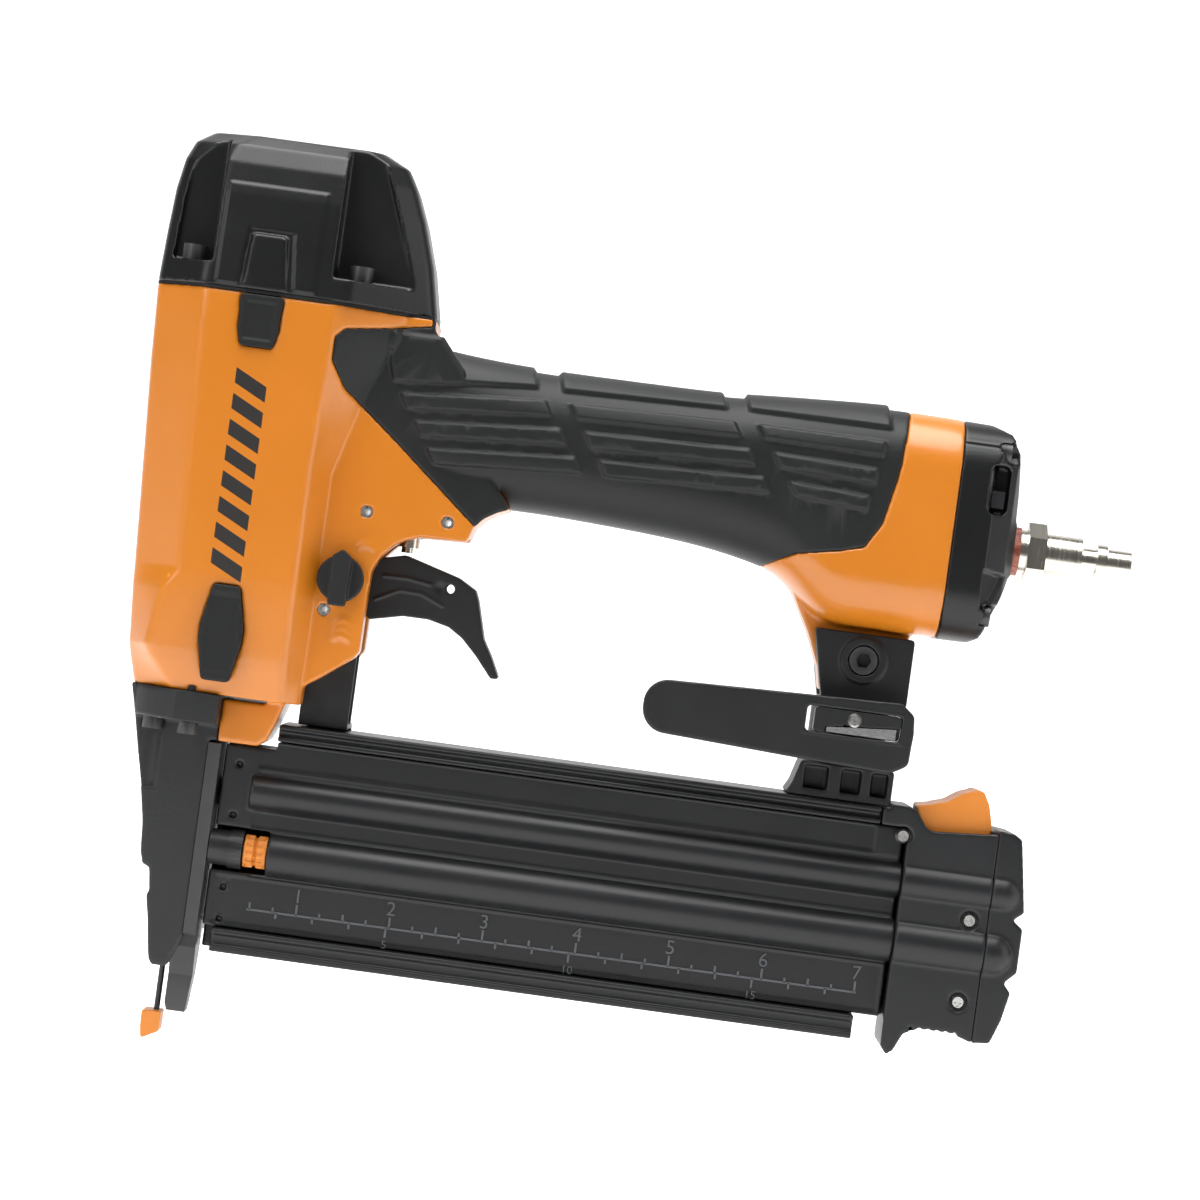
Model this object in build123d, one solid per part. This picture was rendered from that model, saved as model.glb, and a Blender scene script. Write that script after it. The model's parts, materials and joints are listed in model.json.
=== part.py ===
from build123d import *
from math import cos, radians, sin
import os

# Pneumatic brad nailer for 18 gauge brads, one STEP file for each separate piece, in millimetres.
# The origin is the nail exit at the nose tip, on the drive axis. +Z runs up the drive axis, +X runs
# back to the air plug, and -Y is the near side, with the mode selector and the belt hook.

os.makedirs("parts", exist_ok=True)

# ---- clearances
running_gap = 0.05  # radial, where a round piece turns or slides in its bore
slide_gap = 0.3  # between flat faces that slide past each other
blade_gap = 0.15  # each side of the driver blade

# ---- barrel and cap
barrel_half_width = 28.0
barrel_front = 30.0  # forward of the drive axis, at the cap joint
barrel_side_rear = 18.0  # where the flat side ends
nose_joint_z = 87.3
cap_joint_z = 195.5
cap_height = 42.0
cap_rear = 45.7
cap_screw_front = -20.7
cap_screw_rear = 24.3
cap_screw_y = 20.0
cap_ledge_height = 6.2  # the seat of a cap screw over the joint
cap_screw_shank = 12.4
gasket_thickness = 0.8
chamber_r = 20.5

# ---- drive
cylinder_bore_r = 15.9
cylinder_wall = 2.2
sleeve_bottom_z = 96.0
sleeve_top_z = 192.7
stroke = 76.0
piston_height = 13.0
piston_rest_z = 178.5  # the piston's lower face at rest
blade_thickness = 1.2  # along X
blade_width = 2.4
blade_exit_z = 0.5  # the blade's tip at full stroke
bumper_top_z = 101.5
head_valve_r = 19.6
head_chamber_top_z = 224.0

# ---- handle, web and grip
web_half_width = 16.5
grip_thickness = 1.6
handle_half_width = 18.0
handle_wall = 3.2
handle_top_z = 185.6
handle_bottom_z = 147.0
flare_bottom_z = 128.3  # the under side of the widened rear end
rear_joint_x = 190.5
rear_half_width = 23.0

# ---- trigger group
pivot_x = 29.6
pivot_z = 122.5
selector_shaft_r = 2.5
selector_disc_r = 6.3
slot_half_width = 7.2  # the slot in the housing that the trigger works in
slot_ceiling_z = 138.0
trigger_half_width = 6.5
valve_x = 45.5
valve_bottom_z = 133.4
valve_body_r = 3.2
valve_stem_r = 1.6
roll_pin_r = 1.6
roll_pin_bore_r = 1.0
roll_pin_places = [(34.1, 141.3), (56.0, 141.3), (26.2, 113.7)]

# ---- nose and contact trip
nose_half_width = 12.0
nose_bottom_z = 12.5
guide_front = 3.1  # forward of the drive axis
guide_rear = 3.5
guide_half_width = 6.5
guide_top_z = 74.0
tip_half_width = 4.0
trip_wire_x = -5.3
trip_wire_r = 0.8
trip_travel = 8.0
trip_joint_z = 60.0  # where the wire bends to the far side
trip_plate = 1.6
link_gap = 1.2  # from the nose to the link
pocket_bottom_z = 30.6
pocket_top_z = 51.5
dial_y = -7.6
dial_z = 46.1
dial_shaft_r = 2.0
cam_r = 2.4
cam_offset = 0.9

# ---- magazine
magazine_front = 4.4
magazine_rear = 182.4
magazine_half_width = 12.6
rail_top_z = 81.4
rail_shelf_z = 76.7  # under side of the top rail
rail_front = 18.4
front_step_z = 74.2  # the magazine's top forward of the rail, under the housing's skirt
base_z = 18.2
base_top_z = 24.6
brad_gap = 1.3  # width of the track that the brads slide in
upper_tube_z = 62.2
upper_tube_r = 4.5
lower_tube_z = 45.8
lower_tube_r = 5.7
tube_y = -8.5  # the tubes stand out of the near half's face
cover_face = 9.2  # from the middle plane to the near half's face
housing_rear = 214.7
end_cap_rear = 224.4
rear_block_half_width = 12.8
upper_rib_r = 5.2  # the tubes carry on as ribs across the rear block and the end cap
lower_rib_r = 6.3
rib_y = -9.5
pusher_length = 22.0
carriage_y = -5.5  # the pusher's carriage runs inside the upper tube

# ---- latch
latch_pin_x = 196.5
latch_pin_z = 73.4
latch_pin_r = 1.5
latch_half_width = 9.0

# ---- rear bracket, belt hook and air plug
post_x = 171.0
post_r = 7.0
hook_bottom_z = 91.4
hook_top_z = 107.3
hook_plate_y = -21.0
hook_plate = 3.0
bracket_half_width = 12.0
lug_half_width = 7.0
bracket_bolt_x = 172.0
bracket_bolt_z = 119.7
air_z = 154.8
plug_thread_r = 6.6
plug_bore_r = 2.6


# ---- shape helpers
def face_of(points, radius):
    """A closed face from corners, with every corner rounded by radius, or each by its own."""
    if radius:
        return make_face(FilletPolyline(*points, radius=radius, close=True))
    return make_face(Polyline(*points, close=True))


def along_y(points, y_low, y_high, radius=0):
    """A side outline of (x, z) corners, from y_low to y_high."""
    half = (y_high - y_low) / 2
    return Pos(0, y_low + half, 0) * extrude(Plane.XZ * face_of(points, radius), amount=half, both=True)


def along_z(points, z_low, z_high, radius=0):
    """A plan of (x, y) corners, from z_low to z_high."""
    return Pos(0, 0, z_low) * extrude(face_of(points, radius), amount=z_high - z_low)


def along_x(points, x_low, x_high, radius=0):
    """A cross-section of (y, z) corners, from x_low to x_high."""
    return Pos(x_low, 0, 0) * extrude(Plane.YZ * face_of(points, radius), amount=x_high - x_low)


def block(x_low, x_high, y_low, y_high, z_low, z_high):
    middle = Pos((x_low + x_high) / 2, (y_low + y_high) / 2, (z_low + z_high) / 2)
    return middle * Box(x_high - x_low, y_high - y_low, z_high - z_low)


def rod_x(r, x_low, x_high, y=0.0, z=0.0):
    return Pos((x_low + x_high) / 2, y, z) * Rot(0, 90, 0) * Cylinder(r, x_high - x_low)


def rod_y(r, y_low, y_high, x=0.0, z=0.0):
    return Pos(x, (y_low + y_high) / 2, z) * Rot(90, 0, 0) * Cylinder(r, y_high - y_low)


def rod_z(r, z_low, z_high, x=0.0, y=0.0):
    return Pos(x, y, (z_low + z_high) / 2) * Cylinder(r, z_high - z_low)


def ring_z(r_outer, r_inner, z_low, z_high, x=0.0, y=0.0):
    return rod_z(r_outer, z_low, z_high, x, y) - rod_z(r_inner, z_low - 1, z_high + 1, x, y)


def o_ring(r_outer, cord_r, z):
    """A seal about the drive axis."""
    return Pos(0, 0, z) * Torus(r_outer - cord_r, cord_r)


def groove_z(r_outer, depth, z, width):
    """What a seal's groove takes off a round piece about the drive axis."""
    return ring_z(r_outer + 1, r_outer - depth, z - width / 2, z + width / 2)


def spring(mean_r, wire_r, length, turns):
    """A coil spring that stands on the origin."""
    path = Helix(pitch=(length - 2 * wire_r) / turns, height=length - 2 * wire_r, radius=mean_r)
    start = Plane(origin=path @ 0, z_dir=path % 0)
    return Pos(0, 0, wire_r) * sweep(start * Circle(wire_r), path=path, is_frenet=True)


def socket_screw(head_r, head_height, shank_r, shank_length):
    """A socket head screw with its seat on the origin and its head up."""
    head = rod_z(head_r, 0, head_height)
    socket = Pos(0, 0, head_height * 0.4) * extrude(RegularPolygon(head_r * 0.55, 6), amount=head_height)
    return head + rod_z(shank_r, -shank_length, 0) - socket


def cross_screw(head_r, head_height, shank_r, shank_length):
    """A domed cross-recess screw with its seat on the origin and its head up."""
    head = Cone(head_r, head_r * 0.7, head_height, align=(Align.CENTER, Align.CENTER, Align.MIN))
    cross = Box(head_r * 1.1, head_r * 0.28, head_height) + Box(head_r * 0.28, head_r * 1.1, head_height)
    return head + rod_z(shank_r, -shank_length, 0) - Pos(0, 0, head_height) * cross


def both_sides(piece):
    return piece + mirror(piece, about=Plane.XZ)


pieces = {}


# ---- housing
def barrel_plan(front, half_width, flat, crease, tail, corner=4.0):
    """The barrel across the drive axis: a flat front, slanted corners, flat sides and a tapered tail."""
    points = [(-front, -flat), (-crease, -half_width), (barrel_side_rear, -half_width), (tail, -web_half_width)]
    return face_of(points + [(x, -y) for x, y in reversed(points)], corner)


def barrel_body(inset=0.0):
    """The barrel from the nose joint up to the cap joint, with its sides and tail drawn in by inset."""
    w = barrel_half_width - inset
    f = barrel_front
    tail = barrel_side_rear + 5.5 - inset
    # (height, front, half width, front flat, crease, tail)
    levels = [
        (nose_joint_z, f - 7.6, w - 7.0, 11.0, 10.5, tail),
        (nose_joint_z + 8, f - 5.6, w - 4.6, 12.0, 17.0, tail),
        (nose_joint_z + 11, f - 5.1, w - 4.0, 12.5, 19.0, tail),
        (nose_joint_z + 27, f - 3.9, w - 2.4, 13.0, 16.5, tail),
        (nose_joint_z + 32, f - 3.7, w - 2.0, 13.5, 13.0, tail),
        (cap_joint_z - 45.5, f - 2.1, w - 1.1, 14.6, 14.4, tail),
        (cap_joint_z - 22, f - 0.8, w - 0.4, 15.5, 15.5, tail + 7.0),
        (cap_joint_z - 8, f - 0.3, w, 16.0, 15.8, tail + 13.5),
        (cap_joint_z - gasket_thickness, f, w, 16.0, 16.0, tail + 15.5),
    ]
    return loft([Pos(0, 0, level[0]) * barrel_plan(*level[1:]) for level in levels], ruled=True)


def web_outline():
    """The side outline of the casting from the skirt under the barrel to the handle."""
    return [
        (2.3, nose_joint_z - 12.6), (13.1, nose_joint_z - 12.6), (15.4, 76.4), (17.2, 81.0), (19.0, 87.0),
        (22.0, 91.4), (28.1, 95.6), (35.7, 101.5), (37.2, 103.5), (37.3, 118.4), (37.5, 125.5), (39.2, 129.5),
        (42.3, 133.1), (45.3, 135.1), (49.3, 136.4), (61.8, 136.9), (63.1, 140.9), (65.6, 143.7), (68.8, 145.7),
        (72.0, 147.0), (70.0, 150.0), (60.0, 160.0), (54.0, 182.0),
        (48.8, 188.2), (45.7, 192.2),
        (45.7, cap_joint_z - gasket_thickness), (2.3, cap_joint_z - gasket_thickness),
    ]


def handle_levels():
    """(x, under side, top, half width, corner) along the handle, back to the joint with the rear cap."""
    w = handle_half_width
    r = rear_half_width
    t = handle_top_z
    b = handle_bottom_z
    f = flare_bottom_z
    end = rear_joint_x
    return [
        (38.0, b + 3.0, t + 2.4, w - 1.5, 11.0), (52.0, b + 0.6, t + 0.9, w - 0.8, 13.0),
        (66.0, b + 0.2, t - 0.1, w, 14.0), (80.0, b + 0.2, t - 0.4, w, 15.0), (95.0, b - 0.3, t - 0.4, w, 15.0),
        (110.0, b - 1.1, t - 0.3, w, 15.0), (125.0, b - 2.5, t, w, 15.0),
        (138.0, b - 4.8, t + 0.8, w + 0.6, 15.0),
        (146.0, b - 7.6, t + 1.3, w + 1.3, 15.0), (end - 39, f + 6.7, t + 1.6, r - 3.1, 15.0),
        (end - 33.5, f + 2.3, t + 1.9, r - 2.5, 15.0), (end - 27.5, f + 0.2, t + 2.2, r - 2.0, 15.0),
        (end - 20.5, f, t + 2.4, r - 1.4, 15.0), (end - 13.5, f, t + 2.4, r - 0.8, 15.0),
        (end - 6.5, f, t + 2.3, r - 0.3, 15.0), (end, f, t + 2.0, r, 15.0),
    ]


def handle_body(inset=0.0, first=0):
    """One smooth body along the handle, drawn in by inset all round."""
    sections = []
    for x, low, high, half_width, corner in handle_levels()[first:]:
        plane = Plane(origin=(x, 0, (low + high) / 2), x_dir=(0, 1, 0), z_dir=(1, 0, 0))
        size = (2 * half_width - 2 * inset, high - low - 2 * inset, corner - inset)
        sections.append(plane * RectangleRounded(*size))
    return loft(sections)


def grip_zone():
    """The side outline of what the rubber covers, run well past the handle above and below."""
    points = [
        (45.0, 193.0), (22.4, 188.9), (19.9, 186.2), (19.9, 180.0), (24.0, 173.0), (38.0, 162.0), (63.4, 141.1),
        (64.0, 120.0), (141.5, 120.0), (141.8, 141.6), (150.0, 145.8), (161.0, 148.0), (167.5, 149.8),
        (171.5, 156.5), (174.2, 170.0), (175.6, 187.0), (175.6, 205.0), (45.0, 205.0),
    ]
    return along_y(points, -40, 40)


def foot_lug():
    """The lug under the handle's rear end that the bracket forks over."""
    points = [
        (149.0, 139.0), (151.6, 134.1), (156.6, 125.0), (160.2, 116.4), (161.4, 110.5), (166.0, 109.0),
        (182.0, 111.5), (184.0, 128.6), (184.0, 136.0), (152.0, 141.0),
    ]
    return along_y(points, -lug_half_width, lug_half_width)


def housing_cavities():
    top = cap_joint_z - gasket_thickness
    hollow = rod_z(chamber_r, sleeve_bottom_z, top + 1)
    hollow += rod_z(cylinder_bore_r + cylinder_wall + 0.5, nose_joint_z - 1, sleeve_bottom_z + 1)
    hollow += rod_x(9.0, 10, 70, 0, 168)
    hollow += handle_body(grip_thickness + handle_wall, 2)
    hollow += block(22.6, 68, -slot_half_width, slot_half_width, 60, slot_ceiling_z)
    hollow += rod_z(valve_body_r, slot_ceiling_z - 1, 170, valve_x)
    hollow += rod_y(selector_shaft_r + running_gap, -40, 40, pivot_x, pivot_z)
    for x, z in roll_pin_places:
        hollow += rod_y(roll_pin_r, -40, 40, x, z)
    for x in (cap_screw_front, cap_screw_rear):
        screw_end_z = cap_joint_z + cap_ledge_height - cap_screw_shank
        hollow += both_sides(rod_z(2.0, screw_end_z, top + 1, x, cap_screw_y))
    for x, y in nose_screw_places:
        hollow += rod_z(1.7, nose_joint_z - 1, nose_joint_z + 9, x, y)
    for y, z in rear_screw_places:
        hollow += rod_x(1.7, rear_joint_x - 12, rear_joint_x + 1, y, z)
    return hollow + rod_y(2.5, -20, 20, bracket_bolt_x, bracket_bolt_z)


nose_screw_places = [(-15.5, -14.0), (-15.5, 14.0), (-5.5, -19.6), (-5.5, 19.6)]
rear_screw_places = [(-17.5, 180.0), (17.5, 180.0), (-17.5, 136.0), (17.5, 136.0)]


def make_housing_and_grip():
    zone = grip_zone()
    barrel = barrel_body()
    skirt_sides = both_sides(block(-5, 45, nose_half_width + 0.6, 40, 60, nose_joint_z + 1))
    web = along_y(web_outline(), -web_half_width, web_half_width) - skirt_sides
    web_core = along_y(web_outline(), grip_thickness - web_half_width, web_half_width - grip_thickness)
    outer = web + handle_body()
    core = (web_core & zone) + (handle_body(grip_thickness) & zone)
    barrel_core = barrel_body(grip_thickness)
    casting = (barrel - zone) + barrel_core + (outer - zone) + core + foot_lug()
    pads = both_sides(side_pad(*upper_pad) + side_pad(*lower_pad))
    pieces["housing"] = casting - housing_cavities() - pads
    grip = (barrel & zone) + (outer & zone)
    pieces["rubber_grip"] = grip - core - barrel_core - rod_x(9.0, 10, 64, 0, 168)


# ---- side pads: (centre, half width at the low end, middle and high end, low, high, face)
upper_pad = (-0.4, 4.4, 5.5, 6.0, 180.5, 194.4, barrel_half_width + 0.8)
lower_pad = (0.5, 3.7, 5.8, 3.6, 91.0, 116.8, barrel_half_width - 0.8)


def side_pad(centre, low_half, middle_half, high_half, low, high, face):
    """A rubber pad let into the near side of the barrel, wider in the middle."""
    middle = (low + high) / 2
    right = [(low_half, low), (middle_half, middle - 2), (middle_half, middle + 2), (high_half, high)]
    left = [(-x, z) for x, z in reversed(right)]
    return along_y([(centre + x, z) for x, z in right + left], -face, -face + 5.0, 1.1)


def make_side_pads():
    pieces["upper_side_pads"] = both_sides(side_pad(*upper_pad))
    pieces["lower_side_pads"] = both_sides(side_pad(*lower_pad))


# ---- cap and head valve
def cap_plan(front, rear, half_width, corner):
    points = [(-front, -0.6 * half_width), (-front + 13, -half_width), (22.0, -half_width), (rear, -13.0)]
    return face_of(points + [(x, -y) for x, y in reversed(points)], corner)


def make_top_cap():
    w = barrel_half_width
    f = barrel_front
    h = cap_height
    levels = [
        (0.0, f, cap_rear, w, 5.0), (h * 0.32, f - 0.6, cap_rear - 2.8, w - 1.0, 5.0),
        (h * 0.60, f - 1.3, cap_rear - 6.5, w - 2.4, 5.0), (h * 0.80, f - 2.6, cap_rear - 9.9, w - 4.4, 5.0),
        (h * 0.92, f - 4.6, cap_rear - 12.7, w - 7.0, 5.0), (h, f - 9.0, cap_rear - 19.7, w - 12.0, 5.0),
    ]
    cap = loft([Pos(0, 0, cap_joint_z + level[0]) * cap_plan(*level[1:]) for level in levels], ruled=True)
    ledge = cap_joint_z + cap_ledge_height
    front_pocket = [(-26.4, ledge), (-15.1, ledge), (-15.1, 260), (-22.5, 260)]
    rear_pocket = [(17.3, ledge), (39.2, ledge), (26.0, cap_joint_z + cap_height), (17.3, 260)]
    for points in (front_pocket, rear_pocket):
        cap -= both_sides(along_y(points, -60, -16.8))
    for x in (cap_screw_front, cap_screw_rear):
        cap -= both_sides(rod_z(2.0, cap_joint_z - 1, ledge + 1, x, cap_screw_y))
    boss = [(-6.2, cap_joint_z + 0.2), (5.4, cap_joint_z + 0.2), (4.1, 210.4), (-5.3, 210.4)]
    cap += both_sides(along_y(boss, -w - 0.6, -w + 3, 1.2))
    cap -= rod_z(head_valve_r + running_gap, cap_joint_z - 1, head_chamber_top_z)
    pieces["top_cap"] = cap
    screw = socket_screw(3.2, 4.2, 2.0, cap_screw_shank)
    seats = [(x, y) for x in (cap_screw_front, cap_screw_rear) for y in (-cap_screw_y, cap_screw_y)]
    pieces["cap_screws"] = Part() + [Pos(x, y, ledge) * screw for x, y in seats]


def make_gasket():
    low = cap_joint_z - gasket_thickness
    plan = barrel_plan(barrel_front, barrel_half_width, 16.0, 16.0, barrel_side_rear + 21)
    sheet = Pos(0, 0, low) * extrude(plan, amount=gasket_thickness)
    half = web_half_width - 0.4
    sheet += block(20, cap_rear - 0.4, -half, half, low, cap_joint_z)
    sheet -= rod_z(chamber_r, cap_joint_z - 5, cap_joint_z + 5)
    for x in (cap_screw_front, cap_screw_rear):
        sheet -= both_sides(rod_z(2.0, cap_joint_z - 5, cap_joint_z + 5, x, cap_screw_y))
    pieces["cap_gasket"] = sheet


def make_head_valve():
    lip_z = sleeve_top_z + slide_gap
    disc_z = cap_joint_z + 4.5
    groove_at = disc_z + 4.0
    valve = ring_z(17.5, 12.0, lip_z, disc_z)
    valve += rod_z(head_valve_r - 0.3, disc_z, disc_z + 8) + rod_z(9.0, disc_z + 8, disc_z + 14)
    valve -= groove_z(head_valve_r - 0.3, 1.6, groove_at, 2.2)
    pieces["head_valve"] = valve
    pieces["head_valve_seal"] = o_ring(head_valve_r, 0.95, groove_at)
    seat = disc_z + 8
    pieces["head_valve_spring"] = Pos(0, 0, seat) * spring(12.0, 0.9, head_chamber_top_z - seat, 4)


# ---- cylinder, piston and driver
def make_cylinder():
    outer = cylinder_bore_r + cylinder_wall
    land_r = chamber_r - running_gap
    lands = [sleeve_bottom_z, (sleeve_bottom_z + sleeve_top_z) / 2]
    sleeve = rod_z(outer, sleeve_bottom_z, sleeve_top_z)
    seals = Part()
    for z in lands:
        sleeve += rod_z(land_r, z, z + 6)
        sleeve -= groove_z(land_r, 2.0, z + 3, 2.3)
        seals += o_ring(land_r, 0.95, z + 3)
    pieces["cylinder_sleeve"] = sleeve - rod_z(cylinder_bore_r, 0, 250)
    pieces["cylinder_seals"] = seals


def blade_bar(low, high, gap=0.0):
    """The driver blade's cross-section between two heights, with gap all round."""
    x = blade_thickness / 2 + gap
    y = blade_width / 2 + gap
    return block(-x, x, -y, y, low, high)


def driver_blade():
    """At rest it hangs a stroke above the nail exit, and it is set 4 mm into the piston."""
    return blade_bar(stroke + blade_exit_z, piston_rest_z + 4)


def make_piston():
    r = cylinder_bore_r - 0.25
    groove_at = piston_rest_z + piston_height / 2
    piston = rod_z(r, piston_rest_z, piston_rest_z + piston_height)
    piston += rod_z(4.0, piston_rest_z - 6.5, piston_rest_z)
    piston -= groove_z(r, 2.1, groove_at, 2.4)
    pieces["piston"] = piston - driver_blade() - rod_z(r - 4, piston_rest_z + 9, piston_rest_z + 20)
    pieces["piston_seal"] = o_ring(cylinder_bore_r - running_gap, 1.1, groove_at)
    pieces["driver_blade"] = driver_blade()


def make_bumper():
    low = nose_joint_z + 0.2
    bumper = rod_z(cylinder_bore_r - 0.3, low, bumper_top_z)
    bumper += rod_z(cylinder_bore_r + cylinder_wall, low, sleeve_bottom_z - 0.3)
    pieces["bumper"] = bumper - rod_z(5.0, 0, 200)


# ---- nose
def nose_outline():
    """The front of the nose casting from the housing down to the tip, and its straight back."""
    return [
        (-22.8, nose_joint_z), (-20.8, 79.0), (-19.0, 70.8), (-16.4, 58.7), (-14.9, 50.6), (-14.3, 42.5),
        (-13.4, 39.2), (-11.4, 38.4), (-10.6, 32.2), (-11.2, 30.9), (-9.9, 24.3), (-8.9, 17.2), (-8.3, 13.9),
        (-7.3, nose_bottom_z), (-guide_front - slide_gap, nose_bottom_z), (0.0, 21.0), (0.0, guide_top_z + 0.7),
        (2.2, guide_top_z + 0.7), (2.2, nose_joint_z),
    ]


def make_nose():
    w = nose_half_width
    nose = along_y(nose_outline(), -w, w)
    flange = [(-22.4, nose_joint_z), (-20.6, 79.0), (2.2, 79.0), (2.2, nose_joint_z)]
    nose += along_y(flange, -22.5, 22.5) & rod_z(24.5, 70, nose_joint_z)
    nose -= block(-guide_front, 10, -guide_half_width, guide_half_width, 0, guide_top_z)
    nose -= blade_bar(60, 100, blade_gap)
    nose -= block(-9.5, -3.0 - slide_gap, dial_y - cam_r - cam_offset - 0.1, 3.0, pocket_bottom_z, pocket_top_z)
    nose -= rod_z(trip_wire_r + slide_gap, 5, trip_joint_z + trip_travel + 1, trip_wire_x)
    bend = trip_wire_r + slide_gap
    bend_top_z = trip_joint_z + trip_travel + bend
    nose -= block(trip_wire_x - bend, trip_wire_x + bend, 0, 20, trip_joint_z - bend, bend_top_z)
    nose -= rod_x(dial_shaft_r + running_gap, -9.0, 10, dial_y, dial_z)
    for x, y in nose_screw_places:
        nose -= rod_z(1.7, 70, 90, x, y) + rod_z(3.4, 60, 79, x, y)
    nose -= along_y([(-30, 38.0), (-12.6, 38.0), (-11.9, 32.0), (-30, 32.0)], -7.0, 7.0)
    pieces["nose_casting"] = nose
    screw = socket_screw(2.7, 3.2, 1.7, 15.0)
    pieces["nose_screws"] = Part() + [Pos(x, y, 79) * Rot(180, 0, 0) * screw for x, y in nose_screw_places]


def make_driver_guide():
    """The plate that the brad is driven down, with its slot open to the magazine."""
    f = guide_front
    body = [
        (-f, 2.0), (-f, guide_top_z), (guide_rear, guide_top_z),
        (guide_rear, 10.0), (2.6, 0.0), (-2.4, 0.0),
    ]
    guide = along_y(body, -guide_half_width, guide_half_width)
    guide += block(0.0, guide_rear, -nose_half_width, nose_half_width, 22.0, guide_top_z)
    taper = [(guide_half_width - 0.01, 22.0), (guide_half_width - 0.01, -1.0), (20, -1), (20, 22)]
    guide -= both_sides(along_x(taper, -10, 10))
    side_cut = [
        (tip_half_width, -1.0), (tip_half_width, 10.0),
        (guide_half_width, 18.0), (20, 18.0), (20, -1.0),
    ]
    guide -= both_sides(along_x(side_cut, -10, 10))
    guide -= blade_bar(-1, 100, blade_gap)
    guide -= block(0, 10, -brad_gap / 2, brad_gap / 2, 20.0, 80)
    guide -= rod_x(dial_shaft_r + running_gap, -20, 10, dial_y, dial_z)
    guide -= both_sides(block(-10, 10, 1.9, 2.7, -1, 4.5))
    pieces["driver_guide"] = guide


# ---- contact trip
def make_trip():
    x = trip_wire_x
    far = nose_half_width + link_gap
    wire = rod_z(trip_wire_r, -4.5, trip_joint_z, x) + rod_y(trip_wire_r, 0, far + trip_plate, x, trip_joint_z)
    wire += Pos(x, 0, trip_joint_z) * Sphere(trip_wire_r)
    pieces["trip_wire"] = wire
    stop = block(x - 2.6, -3.0 - slide_gap - 0.3, dial_y + 3.0, 2.4, 31.2, 32.9)
    pieces["trip_stop"] = stop - rod_z(trip_wire_r, 0, 60, x)
    pad = along_y([(-8.9, -0.8), (-3.6, -0.6), (-3.7, -6.1), (-8.3, -8.5), (-8.8, -5.0)], -4.5, 4.5, 0.5)
    pieces["no_mar_pad"] = pad - rod_z(trip_wire_r, -4.5, 5, x)
    low = trip_joint_z - 4
    link = [(x - 2.6, low), (36.2, low), (36.2, 83.4), (24.0, 83.4), (24.0, low + 8), (x - 2.6, low + 8)]
    pieces["trip_link"] = along_y(link, far, far + trip_plate, 1.0) - rod_y(trip_wire_r, 0, 30, x, trip_joint_z)
    floor = rail_top_z + 0.5
    w = slot_half_width - slide_gap
    cheek = [
        (22.8, floor), (36.2, floor), (36.2, 103.0), (33.8, 103.0), (33.8, 106.0), (29.4, 106.0), (29.4, 103.0),
        (22.8, 101.0),
    ]
    arm = both_sides(along_y(cheek, -w, trip_plate - w))
    pieces["trip_arm"] = arm + block(24.0, 36.2, trip_plate - w, far, floor, floor + trip_plate)
    pieces["trip_spring"] = Pos(x, 0, 32.9) * spring(1.75, 0.25, pocket_top_z - 32.9, 9)


def make_depth_dial():
    """The thumb wheel and its shaft, with an eccentric cam over the trip's stop."""
    y = dial_y
    z = dial_z
    shaft = rod_x(dial_shaft_r, -7.6, 19.4, y, z) + rod_x(4.9, guide_rear + slide_gap, 9.1, y, z)
    shaft += rod_x(5.3, 9.1, 12.8, y, z) + rod_x(cam_r, -7.6, -3.6, y - cam_offset, z)
    wheel = rod_x(4.5, 13.2, 19.4, y, z)
    for turn in range(12):
        angle = radians(30 * turn)
        wheel -= rod_x(0.7, 13.9, 18.7, y + 4.6 * cos(angle), z + 4.6 * sin(angle))
    pieces["depth_cam"] = shaft
    pieces["depth_dial"] = wheel - shaft


# ---- trigger group
def make_trigger():
    points = [
        (24.8, 123.5), (27.0, 127.4), (31.5, 128.6), (38.6, 129.5), (45.6, 131.2), (60.7, 127.0), (65.7, 124.2),
        (66.8, 121.5), (69.6, 111.4), (72.3, 106.9), (75.1, 101.2), (72.8, 101.1), (67.8, 106.9), (63.7, 110.9),
        (59.7, 113.4), (54.0, 114.7), (47.0, 114.7), (38.1, 112.6), (33.0, 117.0), (26.5, 118.6),
    ]
    trigger = along_y(points, -trigger_half_width, trigger_half_width, 0.5)
    inner = trigger_half_width - 1.8
    hollow = [
        (41.0, 126.5), (47.0, 128.0), (58.0, 125.5), (62.5, 122.5), (64.0, 117.5), (60.0, 119.0), (50.0, 119.5),
        (41.0, 118.0),
    ]
    trigger -= along_y(hollow, -inner, inner)
    trigger -= rod_y(selector_shaft_r + running_gap, -20, 20, pivot_x, pivot_z)
    pieces["trigger"] = trigger - rod_y(1.3, -20, 20, 58.7, 123.7)
    spring_low = 129.4
    pieces["trigger_spring"] = Pos(35.5, 0, spring_low) * spring(2.4, 0.4, slot_ceiling_z - spring_low, 4)


def make_trigger_valve():
    body = rod_z(valve_body_r, valve_bottom_z, 168.0, valve_x)
    body -= rod_z(valve_stem_r + running_gap, valve_bottom_z - 1, 165.0, valve_x)
    pieces["trigger_valve_body"] = body
    pieces["valve_stem"] = rod_z(valve_stem_r, 131.9, 160.0, valve_x)


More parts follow.
